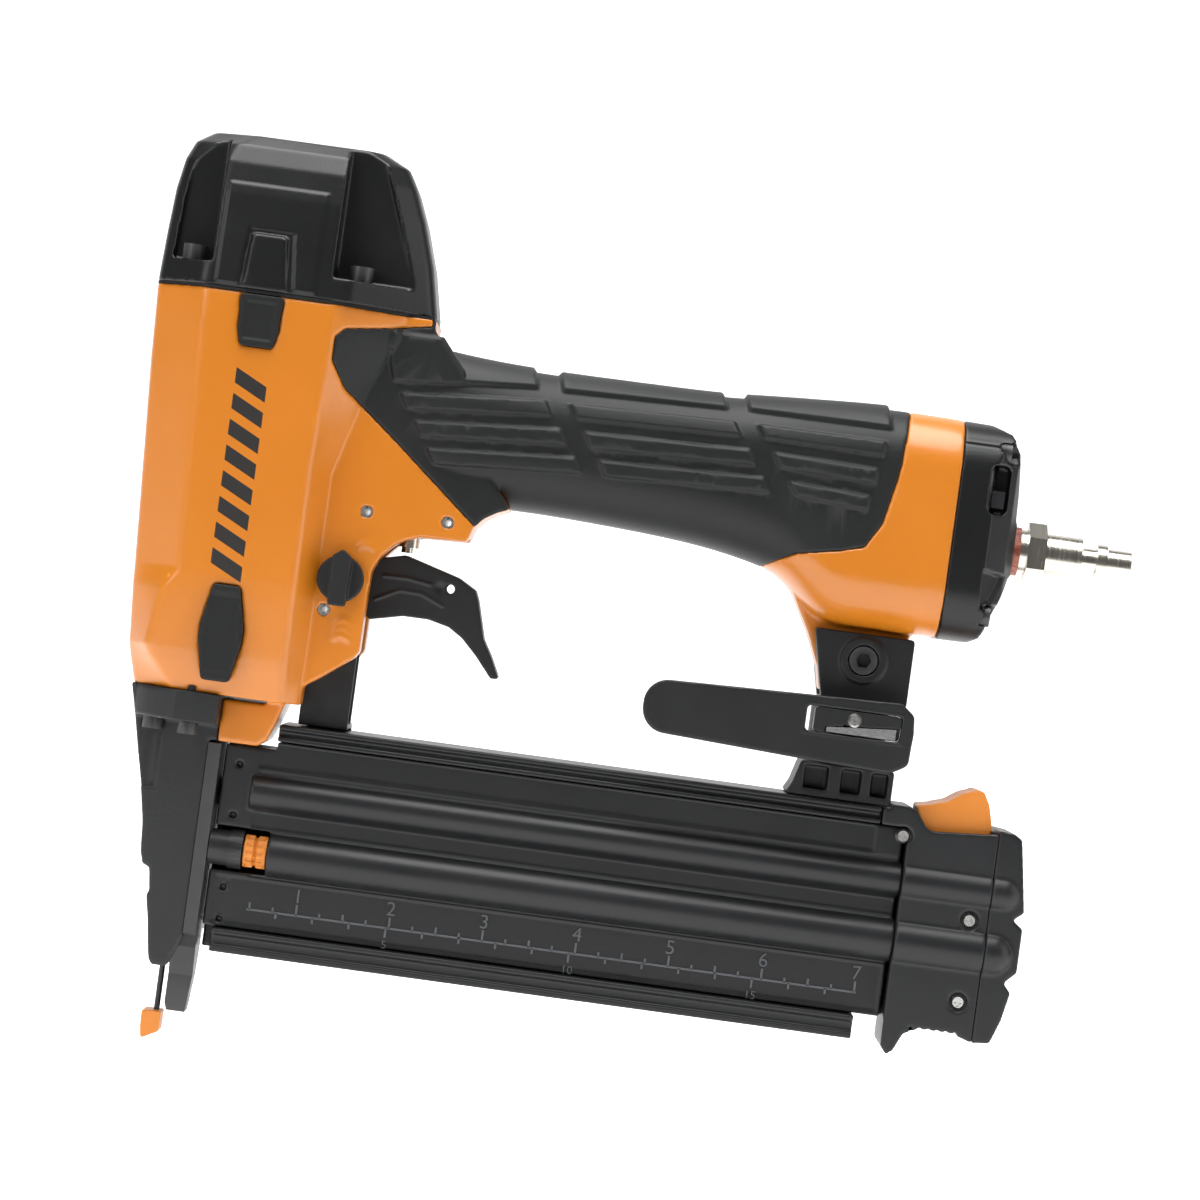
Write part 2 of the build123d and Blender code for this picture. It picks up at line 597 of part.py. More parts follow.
def make_selector():
    face = -web_half_width - 0.3
    disc = rod_y(selector_disc_r, face - 2.7, face, pivot_x, pivot_z)
    bar = [(-2.4, -7.3), (2.4, -7.3), (2.6, 6.0), (0.0, 8.0), (-2.6, 6.0)]
    bar_points = [(pivot_x + x, pivot_z + z) for x, z in bar]
    knob = disc + along_y(bar_points, face - 6.6, face - 2.7, 0.6)
    shaft = rod_y(selector_shaft_r, face - 1.5, web_half_width + 2.2, pivot_x, pivot_z)
    clip = rod_y(4.0, web_half_width + 0.4, web_half_width + 1.4, pivot_x, pivot_z)
    pieces["selector_knob"] = knob - shaft
    pieces["selector_shaft"] = shaft - (clip - rod_y(selector_shaft_r - 0.5, 0, 40, pivot_x, pivot_z))
    pieces["shaft_clip"] = clip - rod_y(selector_shaft_r - 0.5, 0, 40, pivot_x, pivot_z)


def make_roll_pins():
    pins = Part()
    for x, z in roll_pin_places:
        reach = slot_half_width + 9.2
        pin = rod_y(roll_pin_r, -reach, reach, x, z) - rod_y(roll_pin_bore_r, -40, 40, x, z)
        pins += pin - block(x - 0.2, x + 0.2, -40, 40, z, z + 4)
    pieces["roll_pins"] = pins


# ---- rear cap and air plug
def make_rear_cap():
    x = rear_joint_x
    w = rear_half_width
    side_points = [
        (x, 187.6), (198.1, 187.3), (203.4, 185.2), (206.4, 180.4), (207.5, 169.8), (207.8, 162.4),
        (208.4, 161.8), (208.4, 147.7), (207.6, 147.0), (206.7, 143.5), (204.2, 136.4), (201.6, 129.8),
        (199.0, 128.3), (x, 128.2),
    ]
    plan = [(x, -w), (200.0, -w), (206.0, -w + 6.5), (208.6, -10.0)]
    plan += [(px, -py) for px, py in reversed(plan)]
    section = [(-w, 128.0), (w, 128.0), (w, 187.8), (-w, 187.8)]
    shell = along_y(side_points, -w, w) & along_z(plan, 120, 195) & along_x(section, x, 212, 14.9)
    inner = w - 4.5
    hollow = [(-inner, 133.0), (inner, 133.0), (inner, 183.0), (-inner, 183.0)]
    shell -= along_x(hollow, x - 1, 200.5, 10.0)
    shell += along_x([(-9, air_z - 9), (9, air_z - 9), (9, air_z + 9), (-9, air_z + 9)], x + 1, 204, 3.0)
    shell -= rod_x(plug_thread_r, x - 5, 215, 0, air_z)
    slot = [(198.6, 163.4), (204.0, 163.4), (204.0, 176.4), (198.6, 176.4)]
    shell -= both_sides(along_y(slot, -w - 1, -w + 7.5, 1.5))
    for y, z in rear_screw_places:
        shell -= rod_x(1.7, x - 1, 212, y, z) + rod_x(3.2, 200.5, 212, y, z)
        shell += rod_x(3.3, x, 200.5, y, z) - rod_x(1.7, x - 1, 212, y, z)
    pieces["rear_cap"] = shell
    screw = Rot(0, 90, 0) * socket_screw(2.9, 3.0, 1.7, 21.0)
    pieces["rear_cap_screws"] = Part() + [Pos(200.5, y, z) * screw for y, z in rear_screw_places]
    clip = both_sides(block(199.6, 203.0, -w + 2.2, -w + 4.4, 165.0, 169.6))
    pieces["exhaust_clips"] = clip


def make_silencer():
    """The foam ring in the rear cap that quietens the exhaust."""
    inner = rear_half_width - 4.8
    sheet = [(-inner, 139.0), (inner, 139.0), (inner, 177.0), (-inner, 177.0)]
    silencer = along_x(sheet, rear_joint_x + 1.5, 199.5, 3.0)
    silencer -= block(180, 210, -9.5, 9.5, air_z - 9.5, air_z + 9.5)
    for y, z in rear_screw_places:
        silencer -= rod_x(3.6, 180, 220, y, z)
    pieces["silencer"] = silencer


def make_air_plug():
    """A quarter inch industrial plug: thread, hexagon, shank, neck, bead and tip."""
    z = air_z
    plug = rod_x(plug_thread_r - 0.4, 196.0, 212.6, 0, z)
    plug += Pos(212.6, 0, z) * Rot(0, 90, 0) * extrude(RegularPolygon(7.25, 6, major_radius=False), amount=4.9)
    plug += rod_x(5.95, 217.5, 227.5, 0, z) + rod_x(3.45, 227.5, 231.8, 0, z)
    plug += rod_x(4.95, 231.8, 234.5, 0, z) + rod_x(4.0, 234.5, 241.2, 0, z)
    pieces["air_plug"] = plug - rod_x(plug_bore_r, 190, 250, 0, z)
    tape = rod_x(plug_thread_r, 196.0, 210.6, 0, z)
    pieces["thread_seal"] = tape - rod_x(plug_thread_r - 0.4, 190, 215, 0, z)


# ---- rear bracket and belt hook
def make_bracket():
    w = bracket_half_width
    upper = along_y([(157.9, 127.0), (185.2, 127.0), (185.2, 108.2), (162.0, 108.2)], -w, w, 0.8)
    upper -= block(140, 200, -lug_half_width, lug_half_width, 109.0, 140)
    foot = [(155.6, rail_top_z), (184.6, rail_top_z), (184.6, 91.0), (159.2, 91.0), (157.4, 84.5)]
    lower = along_y(foot, -11, 11, 0.8)
    for x_low, x_high in ((160.4, 166.9), (170.4, 175.9), (178.6, 183.2)):
        lower -= both_sides(block(x_low, x_high, -12, -7, 83.6, 90.0))
    post = rod_z(post_r, 90, 109, post_x)
    bracket = upper + lower + post
    bracket += both_sides(rod_y(6.2, -w - 0.8, -w + 1, bracket_bolt_x, bracket_bolt_z))
    bracket -= both_sides(rod_y(4.1, -w - 2, -w + 3, bracket_bolt_x, bracket_bolt_z))
    bracket -= rod_y(2.5, -20, 20, bracket_bolt_x, bracket_bolt_z)
    # The housing's lug passes down through the fork.
    pieces["rear_bracket"] = bracket - foot_lug() - handle_body()
    bolt = Pos(bracket_bolt_x, -w + 3, bracket_bolt_z) * Rot(90, 0, 0) * socket_screw(3.8, 3.6, 2.5, 2 * w - 6)
    pieces["bracket_bolt"] = bolt
    nut = rod_y(3.9, w - 3, w - 0.2, bracket_bolt_x, bracket_bolt_z)
    pieces["bracket_nut"] = nut - rod_y(2.5, 0, 20, bracket_bolt_x, bracket_bolt_z)


window = [(158.3, 99.3), (158.3, 106.2), (183.8, 106.2), (183.8, 99.3)]


def make_belt_hook():
    y = hook_plate_y
    half = hook_plate / 2
    points = [
        (114.6, 93.6), (158.5, 91.6), (182.5, 90.8), (187.0, 93.4), (187.4, 102.0), (187.0, 106.8),
        (183.3, 109.8),
        (114.6, 107.5),
    ]
    radii = [6.6, 20.0, 3.5, 2.5, 2.0, 2.0, 2.0, 6.6]
    hook = along_y(points, y - half, y + half, radii)
    hook -= along_y(window, y - 5, y + 5, 1.0)
    arm = [(166.0, y + half - 0.1), (post_x + 8, y + half - 0.1), (post_x + 8.4, -6.0), (post_x - 8.4, -6.0)]
    hook += along_z(arm, hook_bottom_z, hook_top_z, 1.0)
    hook += rod_z(post_r + 3.6, hook_bottom_z, hook_top_z, post_x)
    hook -= rod_z(post_r + running_gap, 80, 120, post_x)
    hook -= along_y(window, y - 5, y + 4.1, 1.0)
    pieces["belt_hook"] = hook
    body = along_y([(160.4, 99.4), (183.7, 99.4), (183.7, 106.1), (160.4, 106.1)], y - half, y + 4.0, 1.0)
    body -= Pos(176.5, y + 1, 101.6) * Rot(0, 90, 0) * Cone(2.6, 0.6, 16)
    seat = along_y([(163.5, 99.0), (184.5, 99.0), (184.5, 103.0), (163.5, 101.2)], y - half - 1, y - half + 1.0)
    pieces["sharpener_body"] = body - seat - rod_y(0.9, y - 5, y + 3, 171.2, 103.6)
    outline = [(164.0, 99.7), (182.6, 99.7), (182.6, 102.6), (164.0, 101.0)]
    blade = along_y(outline, y - half + 0.1, y - half + 1.0)
    pieces["sharpener_blade"] = blade - rod_y(0.9, y - 5, y + 3, 171.2, 103.6)
    screw = Pos(171.2, y - half, 103.6) * Rot(90, 0, 0) * cross_screw(1.9, 0.9, 0.9, 3.5)
    pieces["sharpener_screw"] = screw


# ---- magazine
def front_step():
    """What the magazine leaves free under the housing's skirt."""
    return block(-10, rail_front, -40, 40, front_step_z, 100)


def make_magazine_rail():
    """The fixed half: top rail, base rail and the wall that the brads lean on."""
    w = magazine_half_width
    top = block(rail_front, magazine_rear, -w, w, rail_shelf_z, rail_top_z)
    top -= both_sides(block(10, 200, -w - 1, -w + 1.2, rail_shelf_z + 1.4, rail_top_z - 1.4))
    base = block(7.6, magazine_rear, -w, w, base_z, base_top_z)
    base -= both_sides(block(0, 200, -w - 1, -w + 1.0, base_z + 1.6, base_top_z - 1.6))
    wall = block(magazine_front, magazine_rear, brad_gap / 2, 3.0, base_z, rail_top_z)
    rail = top + base + wall - block(0, 200, -brad_gap / 2, brad_gap / 2, base_top_z - 3.8, rail_shelf_z + 0.4)
    pieces["magazine_rail"] = rail - front_step()


def far_wall(inset=0.0):
    """The outline of the far half across its length, drawn in by inset all round."""
    w = magazine_half_width - 1.4 - inset
    low = base_top_z + inset
    high = rail_shelf_z - inset
    return [(3.0 + inset, low), (w, low), (w, high), (3.0 + inset, high)]


def make_far_cover():
    cover = along_x(far_wall(), magazine_front, magazine_rear)
    cover -= along_x(far_wall(2.0), magazine_front + 2, magazine_rear - 2)
    pieces["far_cover"] = cover - front_step()


def make_magazine_cover():
    """The near half, which slides back over the rails to load brads."""
    low = base_top_z + slide_gap
    high = rail_shelf_z - slide_gap
    inner = -brad_gap / 2
    face = -cover_face
    front = magazine_front + 0.2
    rear = magazine_rear + 7.0
    cover = block(front, rear, face, inner, low, high)
    tube_rear = rear + 0.8
    cover += rod_x(upper_tube_r, 13.0, tube_rear, tube_y, upper_tube_z)
    cover += rod_x(lower_tube_r, 19.7, tube_rear, tube_y, lower_tube_z)
    cover -= block(0, tube_rear + 1, inner, 10, 0, 100)
    # The channel that the pusher's carriage and its spring run in.
    cover -= rod_x(3.1, front - 1, rear - 6, carriage_y, upper_tube_z)
    cover -= block(front - 1, rear - 6, carriage_y, 0, upper_tube_z - 1.6, upper_tube_z + 1.6)
    cover -= rod_x(6.0, front - 1, 19.7, dial_y, dial_z)
    cover -= block(front - 1, 19.7, -20, dial_y, dial_z - 6, dial_z + 6)
    for z in (69.0, 55.2, 35.6, 26.9):
        cover -= block(8.0, 9.8, face - 1, face + 1.5, z - 0.9, z + 0.9)
    tab_screw = magazine_screw_places[0]
    cover -= rod_y(1.2, -20, 0, *tab_screw)
    cover -= block(15.0, rear + 1, face - 1, face + 0.7, 67.2, 67.9)
    cover -= block(15.0, rear + 1, face - 1, face + 0.7, 39.2, 39.9)
    pieces["magazine_cover"] = cover - front_step()


def make_magazine_rear():
    """The block behind the cover, with a finger grip under it and a pocket for the latch."""
    w = rear_block_half_width
    x = magazine_rear + 0.4
    points = [
        (x, rail_top_z - 0.3), (185.0, rail_top_z - 0.3), (185.4, 82.4), (190.0, 82.4), (192.0, 81.6),
        (195.2, 77.2), (197.0, 76.6), (housing_rear, 78.0),
        (housing_rear, 21.5), (209.0, 23.3), (200.0, 23.3), (196.2, 21.5),
        (194.0, 16.6), (192.3, 15.4), (190.9, 17.0),
        (190.5, base_z - 0.4), (190.5, base_top_z + slide_gap), (x, base_top_z + slide_gap),
    ]
    rear = along_y(points, -w, w)
    rear += rod_x(upper_rib_r, x, housing_rear, rib_y, upper_tube_z)
    rear += rod_x(lower_rib_r, x, housing_rear, rib_y, lower_tube_z)
    rear -= block(x - 1, magazine_rear + 7.9, -20, -brad_gap / 2, base_top_z, rail_shelf_z)
    pocket = latch_half_width + 0.4
    rear -= block(191.6, housing_rear + 1, -pocket, pocket, 70.5, 100)
    rear -= block(x - 1, 206.0, -brad_gap / 2, 9.0, 30, 66)
    rear -= rod_y(latch_pin_r, -12, 12, latch_pin_x, latch_pin_z)
    for px, pz in magazine_screw_places:
        rear -= rod_y(2.6, -w - 1, -w + 1.2, px, pz) + rod_y(1.2, -w, -w + 8, px, pz)
    for tooth in range(6):
        rear -= rod_y(0.6, -20, 20, 198.0 + 2.4 * tooth, 23.2)
    pieces["magazine_rear_block"] = rear
    screw = Rot(90, 0, 0) * cross_screw(2.1, 1.1, 1.2, 6.0)
    pieces["magazine_screws"] = Part() + [Pos(px, 1.2 - w, pz) * screw for px, pz in magazine_screw_places]


magazine_screw_places = [(189.0, 74.3), (209.8, 54.1), (209.7, 31.9)]


def make_end_cap():
    w = rear_block_half_width
    points = [
        (housing_rear, 79.3), (219.0, 78.8), (221.1, 77.5), (222.4, 69.5), (224.2, 58.0),
        (221.4, 55.8), (224.4, 53.6),
        (end_cap_rear, 41.8), (221.2, 38.6), (223.4, 36.2), (221.9, 28.5), (219.6, 22.0), (housing_rear, 21.5),
    ]
    radii = [0.01, 1.5, 1.2, 6, 0.8, 0.6, 0.8, 0.8, 0.6, 0.8, 6, 1.2, 0.01]
    cap = along_y(points, -w, w, radii)
    for r, z in ((upper_rib_r, upper_tube_z), (lower_rib_r, lower_tube_z)):
        rib = rod_x(r, housing_rear - r, end_cap_rear - 1 - r, rib_y, z)
        rib += Pos(end_cap_rear - 1 - r, rib_y, z) * Sphere(r)
        cap += rib & block(housing_rear, end_cap_rear, -w - 3, 0, z - 10, z + 10)
    pieces["magazine_end_cap"] = cap - block(200, housing_rear + 2.5, 2 - w, w - 2, 24, 74)


# ---- latch
def make_latch():
    x = latch_pin_x
    z = latch_pin_z
    points = [
        (192.2, 83.2), (196.0, 83.6), (200.0, 85.2), (204.0, 87.6), (207.5, 89.2), (209.6, 88.8), (211.4, 85.5),
        (213.0, 79.2), (212.4, 76.4), (200.0, 75.6), (199.4, 71.2), (193.4, 71.2), (192.6, 78.0),
    ]
    latch = along_y(points, -latch_half_width, latch_half_width, 0.6)
    pieces["latch_lever"] = latch - rod_y(latch_pin_r + running_gap, -20, 20, x, z)
    pieces["latch_pin"] = rod_y(latch_pin_r, -12, 12, x, z)
    pieces["latch_spring"] = Pos(206.0, 0, 70.5) * spring(2.0, 0.35, 5.2, 3)


# ---- pusher
def make_pusher():
    """The follower that pushes the brads to the nose, with its carriage in the upper tube."""
    half = brad_gap / 2 - 0.12
    x = magazine_front + 0.6
    blade = along_y(
        [(x, 25.6), (x + pusher_length, 25.6), (x + pusher_length, 66.0), (x + 8, 74.0), (x, 74.0)], -half, half
    )
    carriage = rod_x(2.7, x + 2, x + pusher_length - 4, carriage_y, upper_tube_z)
    neck = block(x + 2, x + pusher_length - 4, carriage_y, half, upper_tube_z - 1.2, upper_tube_z + 1.2)
    pieces["pusher"] = blade + carriage + neck
    start = x + pusher_length - 4
    coil = Rot(0, 90, 0) * spring(2.2, 0.35, magazine_rear + 0.6 - start, 22)
    pieces["pusher_spring"] = Pos(start, carriage_y, upper_tube_z) * coil


def make_all():
    make_housing_and_grip()
    make_side_pads()
    make_top_cap()
    make_gasket()
    make_head_valve()
    make_cylinder()
    make_piston()
    make_bumper()
    make_nose()
    make_driver_guide()
    make_trip()
    make_depth_dial()
    make_trigger()
    make_trigger_valve()
    make_selector()
    make_roll_pins()
    make_rear_cap()
    make_silencer()
    make_air_plug()
    make_bracket()
    make_belt_hook()
    make_magazine_rail()
    make_far_cover()
    make_magazine_cover()
    make_magazine_rear()
    make_end_cap()
    make_latch()
    make_pusher()


make_all()
for name, piece in pieces.items():
    export_step(piece, f"parts/{name}.step")
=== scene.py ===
"""The brad nailer's looks: each operator builds one piece, or a few like pieces, round the fixed frame."""

import json
import math

import bmesh
import bpy
import numpy as np
from bpy.props import FloatProperty, FloatVectorProperty, PointerProperty
from bpy.types import Operator, Panel, PropertyGroup
from mathutils import Matrix, Vector

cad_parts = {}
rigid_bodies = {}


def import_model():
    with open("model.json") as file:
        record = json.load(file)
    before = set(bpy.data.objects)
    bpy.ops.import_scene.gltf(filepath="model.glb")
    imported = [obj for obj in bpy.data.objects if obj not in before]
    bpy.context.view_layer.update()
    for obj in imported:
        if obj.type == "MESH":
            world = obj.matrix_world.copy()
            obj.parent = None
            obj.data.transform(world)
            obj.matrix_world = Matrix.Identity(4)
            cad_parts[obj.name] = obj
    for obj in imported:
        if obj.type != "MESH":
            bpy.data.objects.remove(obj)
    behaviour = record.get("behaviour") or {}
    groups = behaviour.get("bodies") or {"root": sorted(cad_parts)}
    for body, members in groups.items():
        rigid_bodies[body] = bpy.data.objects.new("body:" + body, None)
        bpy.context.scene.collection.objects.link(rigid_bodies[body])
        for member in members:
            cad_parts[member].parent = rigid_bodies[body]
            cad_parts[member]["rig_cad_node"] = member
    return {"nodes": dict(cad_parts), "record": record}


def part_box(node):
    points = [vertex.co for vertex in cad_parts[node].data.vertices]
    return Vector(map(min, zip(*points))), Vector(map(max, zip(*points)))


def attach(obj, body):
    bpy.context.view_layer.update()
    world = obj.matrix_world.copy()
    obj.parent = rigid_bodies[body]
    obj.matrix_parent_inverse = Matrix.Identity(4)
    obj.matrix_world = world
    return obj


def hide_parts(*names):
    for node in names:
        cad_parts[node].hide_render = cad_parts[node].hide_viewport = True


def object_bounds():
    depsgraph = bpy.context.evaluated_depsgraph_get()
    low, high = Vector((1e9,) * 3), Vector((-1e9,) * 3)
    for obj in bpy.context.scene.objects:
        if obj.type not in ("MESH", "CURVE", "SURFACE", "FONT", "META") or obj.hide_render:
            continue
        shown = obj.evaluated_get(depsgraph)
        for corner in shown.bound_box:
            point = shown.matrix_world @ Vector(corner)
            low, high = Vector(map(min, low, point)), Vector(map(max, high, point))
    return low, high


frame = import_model()
CAD_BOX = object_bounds()

bl_info = {
    "name": "Brad Nailer",
    "version": (1, 0, 0),
    "blender": (4, 5, 0),
    "location": "View3D > Sidebar > Nailer",
    "description": "Builds a pneumatic brad nailer's castings, mouldings, finishes and stage",
    "category": "Object",
}

MM = 0.001


# ---- settings
def colour_setting(name, description, default):
    return FloatVectorProperty(
        name=name, description=description, default=default, subtype="COLOR", size=3, min=0.0, max=1.0
    )


def power_setting(name, description, default):
    return FloatProperty(name=name, description=description, default=default, subtype="POWER")


def length_setting(name, description, default):
    return FloatProperty(
        name=name,
        description=description,
        default=default,
        subtype="DISTANCE",
        unit="LENGTH",
        min=0.0,
        precision=5,
    )


class NailerPaints(PropertyGroup):
    """The colours of the nailer's finishes."""

    enamel: colour_setting("Enamel", "Orange enamel on the housing", (0.56, 0.172, 0.008))
    orange: colour_setting("Orange plastic", "Latch, depth wheel and no-mar pad", (0.62, 0.205, 0.028))
    rubber: colour_setting("Rubber", "Grip and side pads", (0.010, 0.0106, 0.011))
    nylon: colour_setting("Nylon", "Caps, magazine, trigger, bracket and hook", (0.010, 0.0104, 0.0112))
    casting: colour_setting("Nose enamel", "Black enamel on the nose casting", (0.016, 0.0165, 0.0175))


class NailerShapes(PropertyGroup):
    """The sizes of the moulded detail that the looks add."""

    grain: length_setting("Grain", "Cell size that castings and mouldings are softened at", 0.00055)
    panel_height: length_setting("Panel height", "How far the grip's panels stand up", 0.0012)
    mark_height: length_setting("Mark height", "How far the ruler's marks stand up", 0.00035)
    inch: length_setting("Inch", "One inch on the magazine's ruler", 0.0254)


class NailerStage(PropertyGroup):
    """The camera's place and the lights."""

    distance: length_setting("Distance", "From the camera to the nailer's middle plane", 1.1)
    view_width: length_setting("View width", "Width of the view at the middle plane", 0.3273)
    roll: FloatProperty(
        name="Roll", description="How far the camera is rolled", default=math.radians(7.8), subtype="ANGLE"
    )
    overhead: power_setting("Overhead", "Power of the overhead light", 15.0)
    front: power_setting("Front", "Power of the front light", 4.2)
    room: FloatProperty(name="Room", description="Brightness of the room", default=0.12, min=0.0)


# ---- shader maths
def combine(tree, operation, *values):
    """A Math node on numbers and values, as a value."""
    node = tree.nodes.new("ShaderNodeMath")
    node.operation = operation
    for socket, value in zip(node.inputs, values):
        if isinstance(value, Value):
            tree.links.new(value.socket, socket)
        else:
            socket.default_value = value
    return Value(tree, node.outputs[0])


class Value:
    """A number on a shader socket. Arithmetic on it adds Math nodes."""

    def __init__(self, tree, socket):
        self.tree = tree
        self.socket = socket

    def __add__(self, other):
        return combine(self.tree, "ADD", self, other)

    def __sub__(self, other):
        return combine(self.tree, "SUBTRACT", self, other)

    def __rsub__(self, other):
        return combine(self.tree, "SUBTRACT", other, self)

    def __mul__(self, other):
        return combine(self.tree, "MULTIPLY", self, other)

    def __truediv__(self, other):
        return combine(self.tree, "DIVIDE", self, other)

    def __abs__(self):
        return combine(self.tree, "ABSOLUTE", self)

    def __lt__(self, other):
        return combine(self.tree, "LESS_THAN", self, other)

    def __gt__(self, other):
        return combine(self.tree, "GREATER_THAN", self, other)

    __radd__ = __add__
    __rmul__ = __mul__

    def fraction(self):
        return combine(self.tree, "FRACT", self)

    def rise(self, low, high):
        """0 below low and 1 above high, with a smooth rise between them."""
        node = self.tree.nodes.new("ShaderNodeMapRange")
        node.interpolation_type = "SMOOTHSTEP"
        self.tree.links.new(self.socket, node.inputs["Value"])
        node.inputs["From Min"].default_value = low
        node.inputs["From Max"].default_value = high
        return Value(self.tree, node.outputs["Result"])


class Finish:
    """One procedural material: a Principled shader and the nodes that vary it."""

    def __init__(self, name, roughness=0.5, metallic=0.0, specular=0.5, coat=0.0, coat_roughness=0.2):
        self.material = bpy.data.materials.new(name)
        self.material.use_nodes = True
        self.tree = self.material.node_tree
        self.shader = self.tree.nodes["Principled BSDF"]
        constants = {
            "Roughness": roughness,
            "Metallic": metallic,
            "Specular IOR Level": specular,
            "Coat Weight": coat,
            "Coat Roughness": coat_roughness,
        }
        for socket, number in constants.items():
            self.shader.inputs[socket].default_value = number
        self.place = self.node("ShaderNodeTexCoord").outputs["Object"]

    def node(self, kind, settings=None, **inputs):
        """A node of any kind: its settings come first, then the numbers or links of its sockets."""
        made = self.tree.nodes.new(kind)
        for key, value in (settings or {}).items():
            setattr(made, key, value)
        for key, value in inputs.items():
            socket = made.inputs[key.replace("_", " ")]
            if isinstance(value, (Value, bpy.types.NodeSocket)):
                self.tree.links.new(getattr(value, "socket", value), socket)
            else:
                socket.default_value = value
        return made

    def axis(self, letter):
        """One coordinate of the surface in the tool's own frame, in metres."""
        split = self.node("ShaderNodeSeparateXYZ", Vector=self.place)
        return Value(self.tree, split.outputs[letter])

    def noise(self, scale, detail=2.0, stretch=None):
        """Noise about 0.5, with scale cells to the metre."""
        place = self.place
        if stretch:
            stretched = self.node("ShaderNodeVectorMath", {"operation": "MULTIPLY"})
            self.tree.links.new(place, stretched.inputs[0])
            stretched.inputs[1].default_value = stretch
            place = stretched.outputs[0]
        made = self.node("ShaderNodeTexNoise", Vector=place, Scale=scale, Detail=detail)
        return Value(self.tree, made.outputs["Fac"])

    def edges(self, low, high):
        """1 on sharp outer edges and 0 elsewhere."""
        sharp = self.node("ShaderNodeNewGeometry").outputs["Pointiness"]
        return Value(self.tree, sharp).rise(low, high)

    def blend(self, amount, first, second):
        """A colour between two others."""
        made = self.node("ShaderNodeMix", {"data_type": "RGBA"})
        self.tree.links.new(amount.socket, made.inputs[0])
        for socket, colour in ((made.inputs[6], first), (made.inputs[7], second)):
            if isinstance(colour, bpy.types.NodeSocket):
                self.tree.links.new(colour, socket)
            else:
                socket.default_value = (*colour, 1.0)
        return made.outputs[2]

    def colour(self, socket):
        self.tree.links.new(socket, self.shader.inputs["Base Color"])

    def vary_roughness(self, value):
        self.tree.links.new(value.socket, self.shader.inputs["Roughness"])

    def bump(self, height, distance):
        """Relief of that height value over distance metres."""
        made = self.node("ShaderNodeBump", Height=height, Distance=distance, Strength=1.0)
        self.tree.links.new(made.outputs[0], self.shader.inputs["Normal"])


def scaled(colour, factor):
    return tuple(min(1.0, c * factor) for c in colour)


# ---- finishes
def moulded(name, colour, roughness, grain_depth=0.00002, painted_edge_highlight=0.25, specular=0.36):
    """A moulded plastic: a fine even texture, faint cloudiness, slightly polished edges and a painted
    highlight that lightens the colour on those edges.
    """
    finish = Finish(name, roughness, specular=specular)
    cloud = finish.noise(45.0, 3.0)
    fine = finish.noise(2600.0, 2.0)
    edge = finish.edges(0.52, 0.60)
    base = finish.blend(cloud, scaled(colour, 0.82), scaled(colour, 1.2))
    # Painted highlight: the colour rises towards three times its base on the sharpest edges, standing in
    # for the sheen they catch; the lower roughness there is the real polish.
    finish.colour(finish.blend(edge * painted_edge_highlight, base, scaled(colour, 3.0)))
    finish.vary_roughness(roughness + (cloud - 0.5) * 0.16 - edge * 0.08)
    finish.bump(fine * 0.8 + finish.noise(500.0, 2.0) * 0.4, grain_depth)
    return finish


def enamel_finish(paints):
    """Satin orange enamel on a die casting, with a printed row of slanted bars on the barrel's sides."""
    orange = tuple(paints.enamel)
    finish = Finish("orange_enamel", 0.36, specular=0.5, coat=0.35, coat_roughness=0.18)
    x = finish.axis("X")
    y = finish.axis("Y")
    z = finish.axis("Z")
    cloud = finish.noise(30.0, 3.0)
    edge = finish.edges(0.53, 0.64)
    base = finish.blend(cloud, scaled(orange, 0.93), scaled(orange, 1.07))
    # Painted highlight: the sharpest edges are blended towards a brighter orange that stands in for the
    # light they catch.
    base = finish.blend(edge * 0.35, base, (0.95, 0.42, 0.08))
    bar_x = -0.0004
    bar_pitch = 0.0069
    across = abs(x - bar_x) < 0.0043
    slant = (z - 0.1200 + (x - bar_x) * 0.5) / bar_pitch
    stripe = (slant.fraction() < 0.60) * (slant > 0.0) * (slant < 8.0)
    ink = across * stripe * (abs(y) > 0.0235)
    finish.colour(finish.blend(ink, base, (0.012, 0.010, 0.009)))
    finish.vary_roughness(0.36 + (cloud - 0.5) * 0.12 + ink * 0.12)
    finish.bump(finish.noise(750.0, 1.5) * 1.0 + finish.noise(2400.0, 1.0) * 0.25, 0.000035)
    return finish


def rubber_finish(name, colour, roughness):
    """Matt overmoulded rubber with a fine spark-eroded texture, a dusty bloom and a painted highlight on
    its sharpest edges.
    """
    finish = Finish(name, roughness, specular=0.3)
    bloom = finish.noise(38.0, 4.0)
    fine = finish.noise(3000.0, 2.0)
    edge = finish.edges(0.52, 0.62)
    base = finish.blend(bloom, scaled(colour, 0.8), scaled(colour, 1.3))
    # Painted highlight: the sharpest edges are lightened towards about three times the rubber's colour,
    # standing in for the light they catch.
    finish.colour(finish.blend(edge * 0.3, base, scaled(colour, 3.2)))
    finish.vary_roughness(roughness + (bloom - 0.5) * 0.14)
    finish.bump(fine + finish.noise(900.0, 2.0) * 0.5, 0.000028)
    return finish


def cast_enamel_finish(paints):
    """Black enamel over a rougher casting, rubbed bright at the sharpest edges."""
    colour = tuple(paints.casting)
    finish = Finish("nose_enamel", 0.46, specular=0.36)
    cloud = finish.noise(60.0, 4.0)
    edge = finish.edges(0.56, 0.68)
    base = finish.blend(cloud, scaled(colour, 0.75), scaled(colour, 1.25))
    finish.colour(finish.blend(edge * 0.4, base, (0.16, 0.16, 0.165)))
    finish.vary_roughness(0.46 + (cloud - 0.5) * 0.2)
    finish.bump(finish.noise(620.0, 4.0), 0.00006)
    return finish


def metal_finish(name, colour, roughness, stretch=None, scale=900.0, depth=0.000012, tarnish=0.85):
    """Bare or plated steel: fine working marks, and a slight unevenness of colour."""
    finish = Finish(name, roughness, metallic=1.0)
    marks = finish.noise(scale, 3.0, stretch)
    cloud = finish.noise(120.0, 3.0)
    finish.colour(finish.blend(cloud, scaled(colour, tarnish), colour))
    finish.vary_roughness(roughness + (marks - 0.5) * 0.22)
    finish.bump(marks, depth)
    return finish


